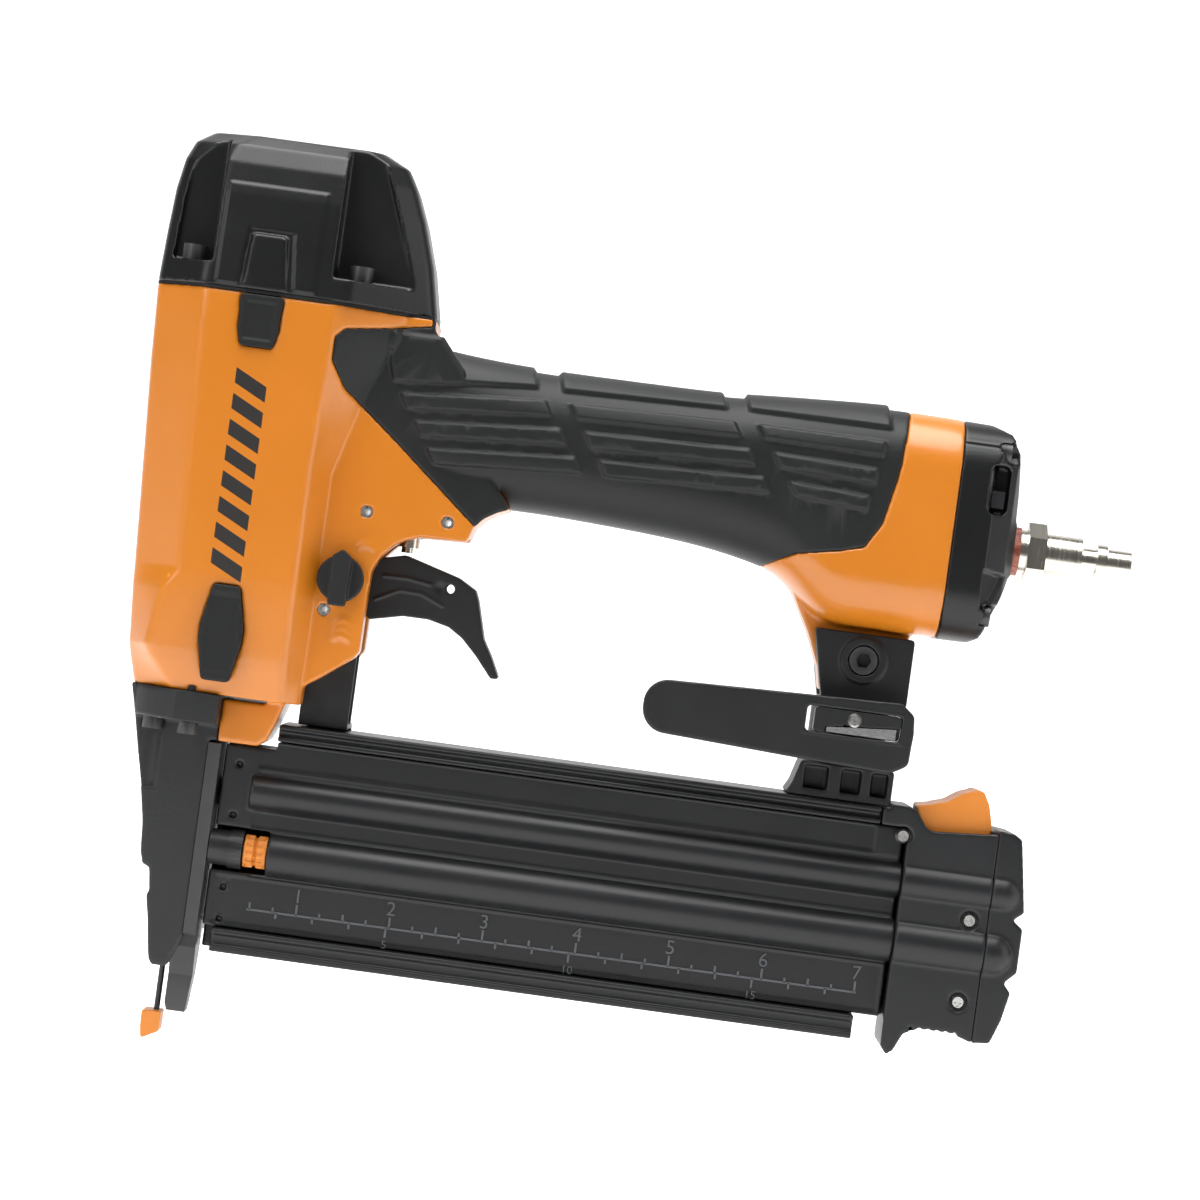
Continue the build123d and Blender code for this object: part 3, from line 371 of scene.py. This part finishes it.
def black_oxide_finish():
    finish = Finish("black_oxide", 0.45, metallic=0.4)
    cloud = finish.noise(160.0, 3.0)
    edge = finish.edges(0.55, 0.66)
    base = finish.blend(cloud, (0.011, 0.011, 0.012), (0.026, 0.026, 0.028))
    finish.colour(finish.blend(edge * 0.5, base, (0.12, 0.12, 0.12)))
    finish.vary_roughness(0.42 + (cloud - 0.5) * 0.2)
    finish.bump(finish.noise(1500.0, 2.0), 0.000015)
    return finish


def sealant_finish():
    """Dried red-brown thread sealant, smeared and uneven."""
    finish = Finish("dried_sealant", 0.5)
    smear = finish.noise(900.0, 4.0, (0.4, 1.0, 1.0))
    finish.colour(finish.blend(smear.rise(0.35, 0.65), (0.20, 0.035, 0.018), (0.50, 0.17, 0.11)))
    finish.vary_roughness(0.35 + smear * 0.35)
    finish.bump(smear, 0.0002)
    return finish


def foam_finish():
    finish = Finish("silencer_foam", 0.95)
    cells = finish.noise(1400.0, 3.0)
    finish.colour(finish.blend(cells, (0.10, 0.10, 0.095), (0.28, 0.27, 0.25)))
    finish.vary_roughness(0.85 + cells * 0.1)
    finish.bump(cells, 0.0004)
    return finish


FINISHES = {}


def make_finishes(paints):
    """Every finish of the nailer, by the name of the record's material slot."""
    nylon = tuple(paints.nylon)
    rubber = tuple(paints.rubber)
    steel = (0.62, 0.61, 0.59)
    FINISHES.update(
        orange_paint=enamel_finish(paints),
        grip_rubber=rubber_finish("grip_rubber_finish", rubber, 0.5),
        pad_rubber=rubber_finish("pad_rubber_finish", scaled(rubber, 0.8), 0.6),
        seal_rubber=rubber_finish("seal_rubber_finish", scaled(rubber, 0.6), 0.55),
        cap_black=moulded("glass_filled_nylon", scaled(nylon, 0.75), 0.34, 0.00004, 0.35),
        black_plastic=moulded("satin_nylon", nylon, 0.46, 0.00003, 0.25),
        magazine_black=moulded("magazine_nylon", scaled(nylon, 1.15), 0.40, 0.00002, 0.25),
        rail_black=moulded("black_anodising", nylon, 0.36, 0.00001, 0.3),
        orange_plastic=moulded("orange_nylon", tuple(paints.orange), 0.42, 0.00002, 0.12, 0.4),
        black_casting=cast_enamel_finish(paints),
        black_steel=black_oxide_finish(),
        bright_steel=metal_finish("zinc_plate", steel, 0.3),
        nickel=metal_finish("nickel_plate", (0.66, 0.62, 0.55), 0.24, (60.0, 1.0, 1.0), 30.0, 0.00002),
        blade_steel=metal_finish("ground_steel", (0.6, 0.6, 0.61), 0.3, (1.0, 1.0, 14.0), 500.0),
        spring_steel=metal_finish("spring_wire", (0.42, 0.42, 0.43), 0.35),
        sleeve_metal=metal_finish("hard_anodising", (0.42, 0.42, 0.44), 0.38),
        thread_sealant=sealant_finish(),
        foam=foam_finish(),
        # Painted highlight: the ruler's marks are the magazine's own nylon, made seven times lighter to
        # stand in for the light their relief catches.
        raised_marks=moulded("raised_marks", scaled(nylon, 7.0), 0.3, 0.00001, 0.1),
    )


def finish_node(node, slot):
    """A CAD node keeps its shape and takes a finish."""
    obj = frame["nodes"][node]
    if not obj.material_slots:
        obj.data.materials.append(FINISHES[slot].material)
    for place in obj.material_slots:
        place.material = FINISHES[slot].material


# ---- mesh tools
def new_object(name, mesh):
    obj = bpy.data.objects.new(name, mesh)
    bpy.context.scene.collection.objects.link(obj)
    return obj


def object_of(name, points, faces):
    """An object from points in millimetres."""
    mesh = bpy.data.meshes.new(name)
    mesh.from_pydata([Vector(p) * MM for p in points], [], faces)
    return new_object(name, mesh)


def prism(name, outline, y_low, y_high):
    """A side outline of (x, z) corners in millimetres, given depth along Y."""
    count = len(outline)
    points = [(x, y_low, z) for x, z in outline] + [(x, y_high, z) for x, z in outline]
    faces = [list(range(count))[::-1], list(range(count, 2 * count))]
    faces += [[i, (i + 1) % count, (i + 1) % count + count, i + count] for i in range(count)]
    obj = object_of(name, points, faces)
    tidy_normals(obj.data)
    return obj


def tidy_normals(mesh):
    work = bmesh.new()
    work.from_mesh(mesh)
    bmesh.ops.recalc_face_normals(work, faces=work.faces)
    work.to_mesh(mesh)
    work.free()


def cad_copy(node, name):
    """A new object with the node's shape, its points merged and no finish."""
    work = bmesh.new()
    work.from_mesh(frame["nodes"][node].data)
    bmesh.ops.remove_doubles(work, verts=work.verts, dist=1e-6)
    points = [v.co.copy() for v in work.verts]
    faces = [[v.index for v in f.verts] for f in work.faces]
    work.free()
    mesh = bpy.data.meshes.new(name)
    mesh.from_pydata(points, [], faces)
    return new_object(name, mesh)


def absorb(obj, others):
    """Adds the meshes of other objects to obj, and removes those objects."""
    work = bmesh.new()
    work.from_mesh(obj.data)
    for other in others:
        work.from_mesh(other.data)
        bpy.data.objects.remove(other)
    work.to_mesh(obj.data)
    work.free()
    return obj


def set_modifiers(obj):
    """Makes obj's modifiers part of its mesh."""
    graph = bpy.context.evaluated_depsgraph_get()
    mesh = bpy.data.meshes.new_from_object(obj.evaluated_get(graph))
    obj.modifiers.clear()
    obj.data = mesh
    return obj


def cut_away(obj, cutters):
    """Takes the cutters' shapes off obj."""
    tool = absorb(cutters[0], cutters[1:])
    cut = obj.modifiers.new("Cut", "BOOLEAN")
    cut.operation = "DIFFERENCE"
    cut.solver = "EXACT"
    cut.use_self = True
    cut.object = tool
    set_modifiers(obj)
    bpy.data.objects.remove(tool)
    return obj


def soften(obj, cell, rounds=3):
    """Rounds a hard shape as a mould or a casting does, on cells of that many metres."""
    cells = obj.modifiers.new("Cells", "REMESH")
    cells.mode = "VOXEL"
    cells.voxel_size = cell
    relax = obj.modifiers.new("Relax", "SMOOTH")
    relax.factor = 0.5
    relax.iterations = rounds
    set_modifiers(obj)
    return obj


def emboss(obj, height):
    """Moves each point out along its normal by height(x, y, z, normals), all in metres."""
    mesh = obj.data
    count = len(mesh.vertices)
    places = np.zeros(count * 3)
    normals = np.zeros(count * 3)
    mesh.vertices.foreach_get("co", places)
    mesh.vertices.foreach_get("normal", normals)
    places = places.reshape(-1, 3)
    normals = normals.reshape(-1, 3)
    lift = height(places[:, 0], places[:, 1], places[:, 2], normals)
    mesh.vertices.foreach_set("co", (places + normals * lift[:, None]).ravel())
    mesh.update()
    return obj


def inside(x, z, corners, soft):
    """1 inside a convex outline given anticlockwise in millimetres, 0 outside, smooth over soft metres."""
    depth = np.full(x.shape, 1.0)
    for (x0, z0), (x1, z1) in zip(corners, corners[1:] + corners[:1]):
        run = math.hypot(x1 - x0, z1 - z0)
        side = ((x1 - x0) * (z - z0 * MM) - (z1 - z0) * (x - x0 * MM)) / run
        depth = np.minimum(depth, side)
    share = np.clip(depth / soft, 0.0, 1.0)
    return share * share * (3.0 - 2.0 * share)


def near_path(x, z, path, half_width):
    """1 on a line through points in millimetres, falling to 0 at half_width metres from it."""
    nearest = np.full(x.shape, 1.0)
    for (x0, z0), (x1, z1) in zip(path, path[1:]):
        run = np.array([x1 - x0, z1 - z0]) * MM
        along = ((x - x0 * MM) * run[0] + (z - z0 * MM) * run[1]) / (run @ run)
        along = np.clip(along, 0.0, 1.0)
        gap = np.hypot(x - x0 * MM - along * run[0], z - z0 * MM - along * run[1])
        nearest = np.minimum(nearest, gap)
    share = np.clip(1.0 - nearest / half_width, 0.0, 1.0)
    return share * share * (3.0 - 2.0 * share)


def thin_out(obj, limit=90000):
    """Keeps a piece's face count within limit, counted in quads or triangles."""
    triangles = sum(len(p.vertices) - 2 for p in obj.data.polygons)
    if triangles > 2 * limit:
        fewer = obj.modifiers.new("Fewer", "DECIMATE")
        fewer.ratio = 2 * limit / triangles
        set_modifiers(obj)
    return obj


def settle(obj, nodes, slot, body, finish=None):
    """Gives a finished piece its finish and its body, and puts it in the place of its nodes."""
    for polygon in obj.data.polygons:
        polygon.use_smooth = True
    obj.data.materials.clear()
    obj.data.materials.append(FINISHES[finish or slot].material)
    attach(obj, body)
    if nodes:
        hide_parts(*nodes)
    return obj


def soft_piece(node, slot, body, cell, rounds=3, extra=(), cutters=(), relief=None):
    """The usual making of a casting or a moulding from its node."""
    obj = cad_copy(node, node + "_look")
    if extra:
        absorb(obj, list(extra))
    if cutters:
        cut_away(obj, list(cutters))
    soften(obj, cell, rounds)
    if relief:
        emboss(obj, relief)
    thin_out(obj)
    return settle(obj, [node], slot, body)


class NailerOperator(Operator):
    """What every operator here shares."""

    bl_options = {"REGISTER", "UNDO"}

    @property
    def shapes(self):
        return bpy.context.scene.nailer_shapes


# ---- housing and grip
def chevron(x, z, reach, rise, thick, y_face):
    """A small raised V on the housing's near side, its point up."""
    outline = [
        (x - reach, z),
        (x, z + rise),
        (x + reach, z),
        (x + reach, z + thick),
        (x, z + rise + thick),
        (x - reach, z + thick),
    ]
    return prism("chevron", outline, y_face - 0.5, y_face + 0.8)


class NAILER_OT_housing(NailerOperator):
    """Cast housing: barrel, web and rear end, with the firing-mode marks beside the selector"""

    bl_idname = "nailer.housing"
    bl_label = "Housing"

    def execute(self, context):
        marks = [chevron(35.2, 131.2, 2.0, 1.2, 0.9, -16.5)]
        marks += [chevron(31.8, 106.0 + 2.1 * row, 2.2, 1.2, 0.9, -16.5) for row in range(3)]
        soft_piece("housing", "orange_paint", "tool", self.shapes.grain, 4, marks)
        return {"FINISHED"}


def panel_corners():
    """The grip's raised panels: four slanted rows in three columns, in millimetres."""
    columns = [
        ((33.5, 181.3), (4.6, -6.9), (73.0, 184.6), (4.9, -7.0), (2.7, -4.5), (2.6, -4.6)),
        ((78.8, 184.6), (4.8, -7.0), (124.2, 185.8), (4.8, -6.9), (2.9, -4.6), (2.7, -4.5)),
        ((129.3, 186.0), (5.1, -7.0), (171.2, 186.4), (-1.2, -7.5), (2.9, -4.3), (-0.1, -4.6)),
    ]
    panels = []
    for left, left_step, right, right_step, left_drop, right_drop in columns:
        for row in range(4):
            top_left = (left[0] + row * left_step[0], left[1] + row * left_step[1])
            top_right = (right[0] + row * right_step[0], right[1] + row * right_step[1])
            low_left = (top_left[0] + left_drop[0], top_left[1] + left_drop[1])
            low_right = (top_right[0] + right_drop[0], top_right[1] + right_drop[1])
            if row == 0:
                top_left = (top_left[0] - 3.0, top_left[1] + 14.0)
                top_right = (top_right[0] - 3.0, top_right[1] + 14.0)
            panels.append([low_left, low_right, top_right, top_left])
    return panels


class NAILER_OT_grip(NailerOperator):
    """Rubber overmould round the handle, with its raised slanted panels"""

    bl_idname = "nailer.grip"
    bl_label = "Rubber grip"

    def execute(self, context):
        height = self.shapes.panel_height

        def relief(x, y, z, normals):
            outward = (normals[:, 1] * np.sign(y) > 0.15) | (normals[:, 2] > 0.3)
            top_edge = np.clip((0.1905 - z) / 0.0006, 0.0, 1.0)
            total = np.zeros(x.shape)
            for corners in panel_corners():
                total = np.maximum(total, inside(x, z, corners, 0.0008))
            return np.where(outward & (x > 0.0345), total * height * top_edge, 0.0)

        soft_piece("rubber_grip", "grip_rubber", "tool", self.shapes.grain * 1.05, 2, relief=relief)
        return {"FINISHED"}


class NAILER_OT_side_pads(NailerOperator):
    """Rubber pads let into the barrel's sides, each with a shallow dish"""

    bl_idname = "nailer.side_pads"
    bl_label = "Side pads"

    def execute(self, context):
        for node in ("upper_side_pads", "lower_side_pads"):
            low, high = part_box(node)
            middle = (low + high) / 2
            half_height = (high.z - low.z) / 2
            dish_half_width = 0.0042
            dish_half_height = half_height - 0.0016
            depth = 0.0005

            def relief(x, y, z, normals):
                across = np.abs(x - middle.x) / dish_half_width
                away = np.maximum(across, np.abs(z - middle.z) / dish_half_height)
                dish = np.clip((1.0 - away) / 0.15, 0.0, 1.0)
                return np.where(np.abs(normals[:, 1]) > 0.8, -depth * dish, 0.0)

            soft_piece(node, "pad_rubber", "tool", 0.00035, 4, relief=relief)
        return {"FINISHED"}


# ---- caps
class NAILER_OT_top_cap(NailerOperator):
    """Moulded top cap, with a ledge across each side between the screw pockets"""

    bl_idname = "nailer.top_cap"
    bl_label = "Top cap"

    def execute(self, context):
        def relief(x, y, z, normals):
            side = np.abs(normals[:, 1]) > 0.5
            panel = inside(x, z, [(-13.6, 196.4), (13.4, 196.4), (13.4, 223.8), (-13.6, 223.8)], 0.0005)
            boss = inside(x, z, [(-8.0, 194.0), (8.0, 194.0), (6.0, 212.0), (-6.5, 212.0)], 0.0006)
            return np.where(side & (np.abs(y) > 0.02), panel * 0.00045 * (1.0 - boss), 0.0)

        soft_piece("top_cap", "cap_black", "tool", self.shapes.grain * 0.9, 3, relief=relief)
        return {"FINISHED"}


class NAILER_OT_rear_cap(NailerOperator):
    """Moulded rear end cap, with a parting line, exhaust slots and a sunk triangle on each side"""

    bl_idname = "nailer.rear_cap"
    bl_label = "Rear cap"

    def execute(self, context):
        def relief(x, y, z, normals):
            side = np.abs(y) > 0.012
            line = near_path(x, z, [(191.0, 181.2), (200.5, 181.2), (205.0, 179.2)], 0.0004)
            sunk = inside(x, z, [(200.0, 137.5), (202.4, 136.6), (206.8, 147.6), (199.6, 148.4)], 0.0007)
            return np.where(side, -0.0003 * line - 0.0011 * sunk, 0.0)

        soft_piece("rear_cap", "cap_black", "tool", self.shapes.grain * 0.85, 3, relief=relief)
        return {"FINISHED"}


# ---- nose
class NAILER_OT_nose(NailerOperator):
    """Cast nose over the driver guide"""

    bl_idname = "nailer.nose"
    bl_label = "Nose"

    def execute(self, context):
        soft_piece("nose_casting", "black_casting", "tool", 0.00045, 3)
        return {"FINISHED"}


# ---- trigger group
class NAILER_OT_trigger(NailerOperator):
    """Trigger with two thin ribs on each cheek, the mode selector's knob and the trip's arm"""

    bl_idname = "nailer.trigger"
    bl_label = "Trigger group"

    def execute(self, context):
        upper_rib = [(40.5, 124.9), (47.0, 125.1), (53.2, 124.2)]
        lower_rib = [(38.9, 118.3), (45.3, 121.6), (51.3, 121.4), (57.2, 118.9)]
        rib_half_width = 0.0007

        def relief(x, y, z, normals):
            cheek = np.abs(normals[:, 1]) > 0.8
            upper = near_path(x, z, upper_rib, rib_half_width)
            line = np.maximum(upper, near_path(x, z, lower_rib, rib_half_width))
            hollow = near_path(x, z, [(56.1, 123.6), (56.3, 123.6)], 0.0022)
            return np.where(cheek & (np.abs(y) > 0.005), 0.0004 * line - 0.0005 * hollow, 0.0)

        soft_piece("trigger", "black_plastic", "trigger", 0.00034, 3, relief=relief)
        soft_piece("selector_knob", "black_plastic", "selector", 0.00028, 3)
        soft_piece("trip_arm", "black_steel", "contact_trip", 0.00034, 2)
        return {"FINISHED"}


# ---- bracket and belt hook
class NAILER_OT_bracket(NailerOperator):
    """Rear bracket, belt hook and the pencil sharpener's body"""

    bl_idname = "nailer.bracket"
    bl_label = "Bracket and hook"

    def execute(self, context):
        soft_piece("rear_bracket", "black_plastic", "tool", 0.0004, 3)

        def relief(x, y, z, normals):
            face = normals[:, 1] < -0.8
            rim = inside(x, z, [(157.6, 98.4), (184.6, 98.4), (184.6, 107.0), (157.6, 107.0)], 0.0004)
            return np.where(face, 0.0002 * rim, 0.0)

        soft_piece("belt_hook", "black_plastic", "belt_hook", 0.00042, 3, relief=relief)
        soft_piece("sharpener_body", "black_plastic", "belt_hook", 0.0003, 2)
        return {"FINISHED"}


# ---- magazine
class NAILER_OT_magazine(NailerOperator):
    """Magazine: sliding near half, rails, fixed far half, rear block and end cap"""

    bl_idname = "nailer.magazine"
    bl_label = "Magazine"

    def execute(self, context):
        def cover_relief(x, y, z, normals):
            face = (normals[:, 1] < -0.8) & (np.abs(y + 0.0092) < 0.0006)
            upper = inside(x, z, [(14.0, 68.8), (182.2, 68.8), (182.2, 76.4), (14.0, 76.4)], 0.0005)
            middle = inside(x, z, [(14.0, 52.2), (189.6, 52.2), (189.6, 57.4), (14.0, 57.4)], 0.0005)
            ruler = inside(x, z, [(6.5, 25.6), (188.6, 25.6), (188.6, 39.0), (6.5, 39.0)], 0.0005)
            return np.where(face, -0.0004 * np.maximum(np.maximum(upper, middle), ruler), 0.0)

        soft_piece("magazine_cover", "magazine_black", "magazine_slide", 0.00045, 2, relief=cover_relief)
        soft_piece("magazine_rail", "rail_black", "tool", 0.00045, 2)
        soft_piece("magazine_rear_block", "magazine_black", "magazine_slide", 0.00042, 3)
        soft_piece("magazine_end_cap", "magazine_black", "magazine_slide", 0.00045, 3)
        finish_node("far_cover", "magazine_black")
        return {"FINISHED"}


def ruler_digit(number, x, z, height, y):
    """One moulded digit on the near side, as a mesh object."""
    curve = bpy.data.curves.new(f"digit_{number}", "FONT")
    curve.body = str(number)
    curve.size = height * MM
    curve.extrude = 0.5 * bpy.context.scene.nailer_shapes.mark_height
    curve.align_x = "CENTER"
    obj = new_object(f"digit_{number}", curve)
    graph = bpy.context.evaluated_depsgraph_get()
    mesh = bpy.data.meshes.new_from_object(obj.evaluated_get(graph))
    mesh.transform(Matrix.Translation((x * MM, y * MM, z * MM)) @ Matrix.Rotation(math.radians(90), 4, "X"))
    bpy.data.objects.remove(obj)
    return new_object(f"digit_{number}_mesh", mesh)


class NAILER_OT_ruler(NailerOperator):
    """Moulded ruler along the magazine: quarter inches above its line and centimetres below it"""

    bl_idname = "nailer.ruler"
    bl_label = "Ruler"

    def execute(self, context):
        inch = self.shapes.inch / MM
        height = self.shapes.mark_height / MM
        face = -9.2 + 0.4
        zero = 4.0
        line = 30.5
        strokes = [(16.0, line - 0.3, 182.4, line + 0.3)]
        for step in range(2, 29):
            x = zero + step * inch / 4
            tall = 3.0 if step % 4 == 0 else (2.0 if step % 2 == 0 else 1.4)
            strokes.append((x - 0.3, line, x + 0.3, line + tall))
        for step in range(2, 18):
            x = zero + 10.0 * step
            strokes.append((x - 0.3, line - (2.6 if step % 5 == 0 else 1.6), x + 0.3, line))
        parts = [
            prism("stroke", [(x0, z0), (x1, z0), (x1, z1), (x0, z1)], face - height, face + 0.1)
            for x0, z0, x1, z1 in strokes
        ]
        parts += [ruler_digit(n, zero + n * inch, line + 3.5, 5.4, face - height / 2) for n in range(1, 8)]
        parts += [
            ruler_digit(5 * n, zero + 50.0 * n, line - 5.6, 3.2, face - height / 2) for n in range(1, 4)
        ]
        marks = absorb(parts[0], parts[1:])
        marks.name = "ruler_marks"
        # The marks take the lighter finish, a painted highlight on moulding that has the magazine's own
        # colour.
        settle(marks, [], "magazine_black", "magazine_slide", "raised_marks")
        for polygon in marks.data.polygons:
            polygon.use_smooth = False
        return {"FINISHED"}


# ---- orange plastic and fittings
class NAILER_OT_orange_parts(NailerOperator):
    """Latch lever, depth wheel and no-mar pad"""

    bl_idname = "nailer.orange_parts"
    bl_label = "Orange parts"

    def execute(self, context):
        def relief(x, y, z, normals):
            wave = np.sin((x - 0.195) / 0.0011)
            return np.where((normals[:, 2] > 0.5) & (x < 0.2065), 0.00012 * wave, 0.0)

        soft_piece("latch_lever", "orange_plastic", "latch", 0.0004, 4, relief=relief)
        low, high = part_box("depth_dial")
        middle = (low.x + high.x) / 2

        def groove(x, y, z, normals):
            return -0.0009 * np.clip(1.0 - np.abs(x - middle) / 0.0006, 0.0, 1.0)

        soft_piece("depth_dial", "orange_plastic", "depth_dial", 0.00022, 2, relief=groove)
        soft_piece("no_mar_pad", "orange_plastic", "contact_trip", 0.00025, 2)
        return {"FINISHED"}


class NAILER_OT_fittings(NailerOperator):
    """Finishes for the screws, pins, springs, seals, valves and the air plug"""

    bl_idname = "nailer.fittings"
    bl_label = "Fittings"

    def execute(self, context):
        done = {row["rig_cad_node"] for row in frame["nodes"].values() if row.hide_render}
        for part in frame["record"]["subparts"]:
            if part["node"] not in done:
                finish_node(part["node"], part["material_slot"])
        return {"FINISHED"}


# ---- stage
def soft_light(name, place, target, power, width, depth):
    light = bpy.data.lights.new(name, "AREA")
    light.shape = "RECTANGLE"
    light.size = width
    light.size_y = depth
    light.energy = power
    obj = bpy.data.objects.new(name, light)
    bpy.context.scene.collection.objects.link(obj)
    obj.location = place
    obj.rotation_mode = "QUATERNION"
    obj.rotation_quaternion = (Vector(target) - Vector(place)).to_track_quat("-Z", "Y")


def cyclorama(floor_z):
    """A seamless pale sweep: floor in front, a curve, and a wall behind."""
    reach = 3.0
    bend = 1.2
    profile = [(-0.5, 0.0), (0.8, 0.0)]
    for step in range(1, 17):
        turn = math.pi / 2 * step / 16
        profile.append((0.8 + bend * math.sin(turn), bend * (1.0 - math.cos(turn))))
    profile.append((0.8 + bend, reach))
    points = [(x, y, floor_z + z) for y, z in profile for x in (-reach, reach)]
    faces = [[2 * i, 2 * i + 1, 2 * i + 3, 2 * i + 2] for i in range(len(profile) - 1)]
    mesh = bpy.data.meshes.new("sweep")
    mesh.from_pydata(points, [], faces)
    for polygon in mesh.polygons:
        polygon.use_smooth = True
    obj = new_object("sweep", mesh)
    paper = Finish("studio_paper", 0.9, specular=0.1)
    paper.colour(paper.blend(paper.noise(3.0), (0.90, 0.90, 0.90), (0.93, 0.93, 0.93)))
    paper.shader.inputs["Emission Color"].default_value = (1.0, 1.0, 1.0, 1.0)
    paper.shader.inputs["Emission Strength"].default_value = 0.75
    mesh.materials.append(paper.material)


class NAILER_OT_stage(NailerOperator):
    """Pale seamless floor, soft lights and the camera"""

    bl_idname = "nailer.stage"
    bl_label = "Stage"

    def execute(self, context):
        stage = context.scene.nailer_stage
        cyclorama(CAD_BOX[0].z - 0.0005)
        world = bpy.data.worlds.new("room")
        context.scene.world = world
        world.use_nodes = True
        backdrop = world.node_tree.nodes["Background"]
        backdrop.inputs["Color"].default_value = (1.0, 1.0, 1.0, 1.0)
        backdrop.inputs["Strength"].default_value = stage.room
        middle = (0.10, 0.0, 0.13)
        soft_light("overhead", (0.0, -0.15, 0.95), middle, stage.overhead, 0.9, 0.7)
        soft_light("front_left", (-0.75, -0.95, 0.55), middle, stage.front, 0.6, 0.6)
        soft_light("right_edge", (0.9, -0.25, 0.35), middle, stage.front * 0.5, 0.4, 0.8)
        lens = bpy.data.cameras.new("camera")
        lens.sensor_width = 36.0
        lens.lens = 36.0 * stage.distance / stage.view_width
        lens.clip_start = 0.01
        camera = bpy.data.objects.new("camera", lens)
        context.scene.collection.objects.link(camera)
        aim_x = 0.0994
        aim_z = 0.1263
        c = math.cos(stage.roll)
        s = math.sin(stage.roll)
        camera.matrix_world = Matrix(
            (
                (c, -s, 0.0, aim_x),
                (0.0, 0.0, -1.0, -stage.distance),
                (s, c, 0.0, aim_z),
                (0.0, 0.0, 0.0, 1.0),
            )
        )
        context.scene.camera = camera
        context.scene.view_settings.view_transform = "Standard"
        return {"FINISHED"}


# ---- panel and registration
OPERATORS = (
    NAILER_OT_housing,
    NAILER_OT_grip,
    NAILER_OT_side_pads,
    NAILER_OT_top_cap,
    NAILER_OT_rear_cap,
    NAILER_OT_nose,
    NAILER_OT_trigger,
    NAILER_OT_bracket,
    NAILER_OT_magazine,
    NAILER_OT_ruler,
    NAILER_OT_orange_parts,
    NAILER_OT_fittings,
    NAILER_OT_stage,
)


class NAILER_PT_sidebar(Panel):
    """The nailer's settings and its operators, in the 3D view's sidebar"""

    bl_label = "Brad Nailer"
    bl_space_type = "VIEW_3D"
    bl_region_type = "UI"
    bl_category = "Nailer"

    def draw(self, context):
        scene = context.scene
        for settings in (scene.nailer_paints, scene.nailer_shapes, scene.nailer_stage):
            box = self.layout.box()
            for name in settings.__annotations__:
                box.prop(settings, name)
        for operator in OPERATORS:
            self.layout.operator(operator.bl_idname)


SETTINGS = {"nailer_paints": NailerPaints, "nailer_shapes": NailerShapes, "nailer_stage": NailerStage}


def register():
    for kind in (*SETTINGS.values(), *OPERATORS, NAILER_PT_sidebar):
        bpy.utils.register_class(kind)
    for name, kind in SETTINGS.items():
        setattr(bpy.types.Scene, name, PointerProperty(type=kind))


def unregister():
    for name in SETTINGS:
        delattr(bpy.types.Scene, name)
    for kind in (NAILER_PT_sidebar, *reversed(OPERATORS), *SETTINGS.values()):
        bpy.utils.unregister_class(kind)


def main():
    register()
    make_finishes(bpy.context.scene.nailer_paints)
    for operator in OPERATORS:
        group, name = operator.bl_idname.split(".")
        getattr(getattr(bpy.ops, group), name)()


if __name__ == "__main__":
    main()
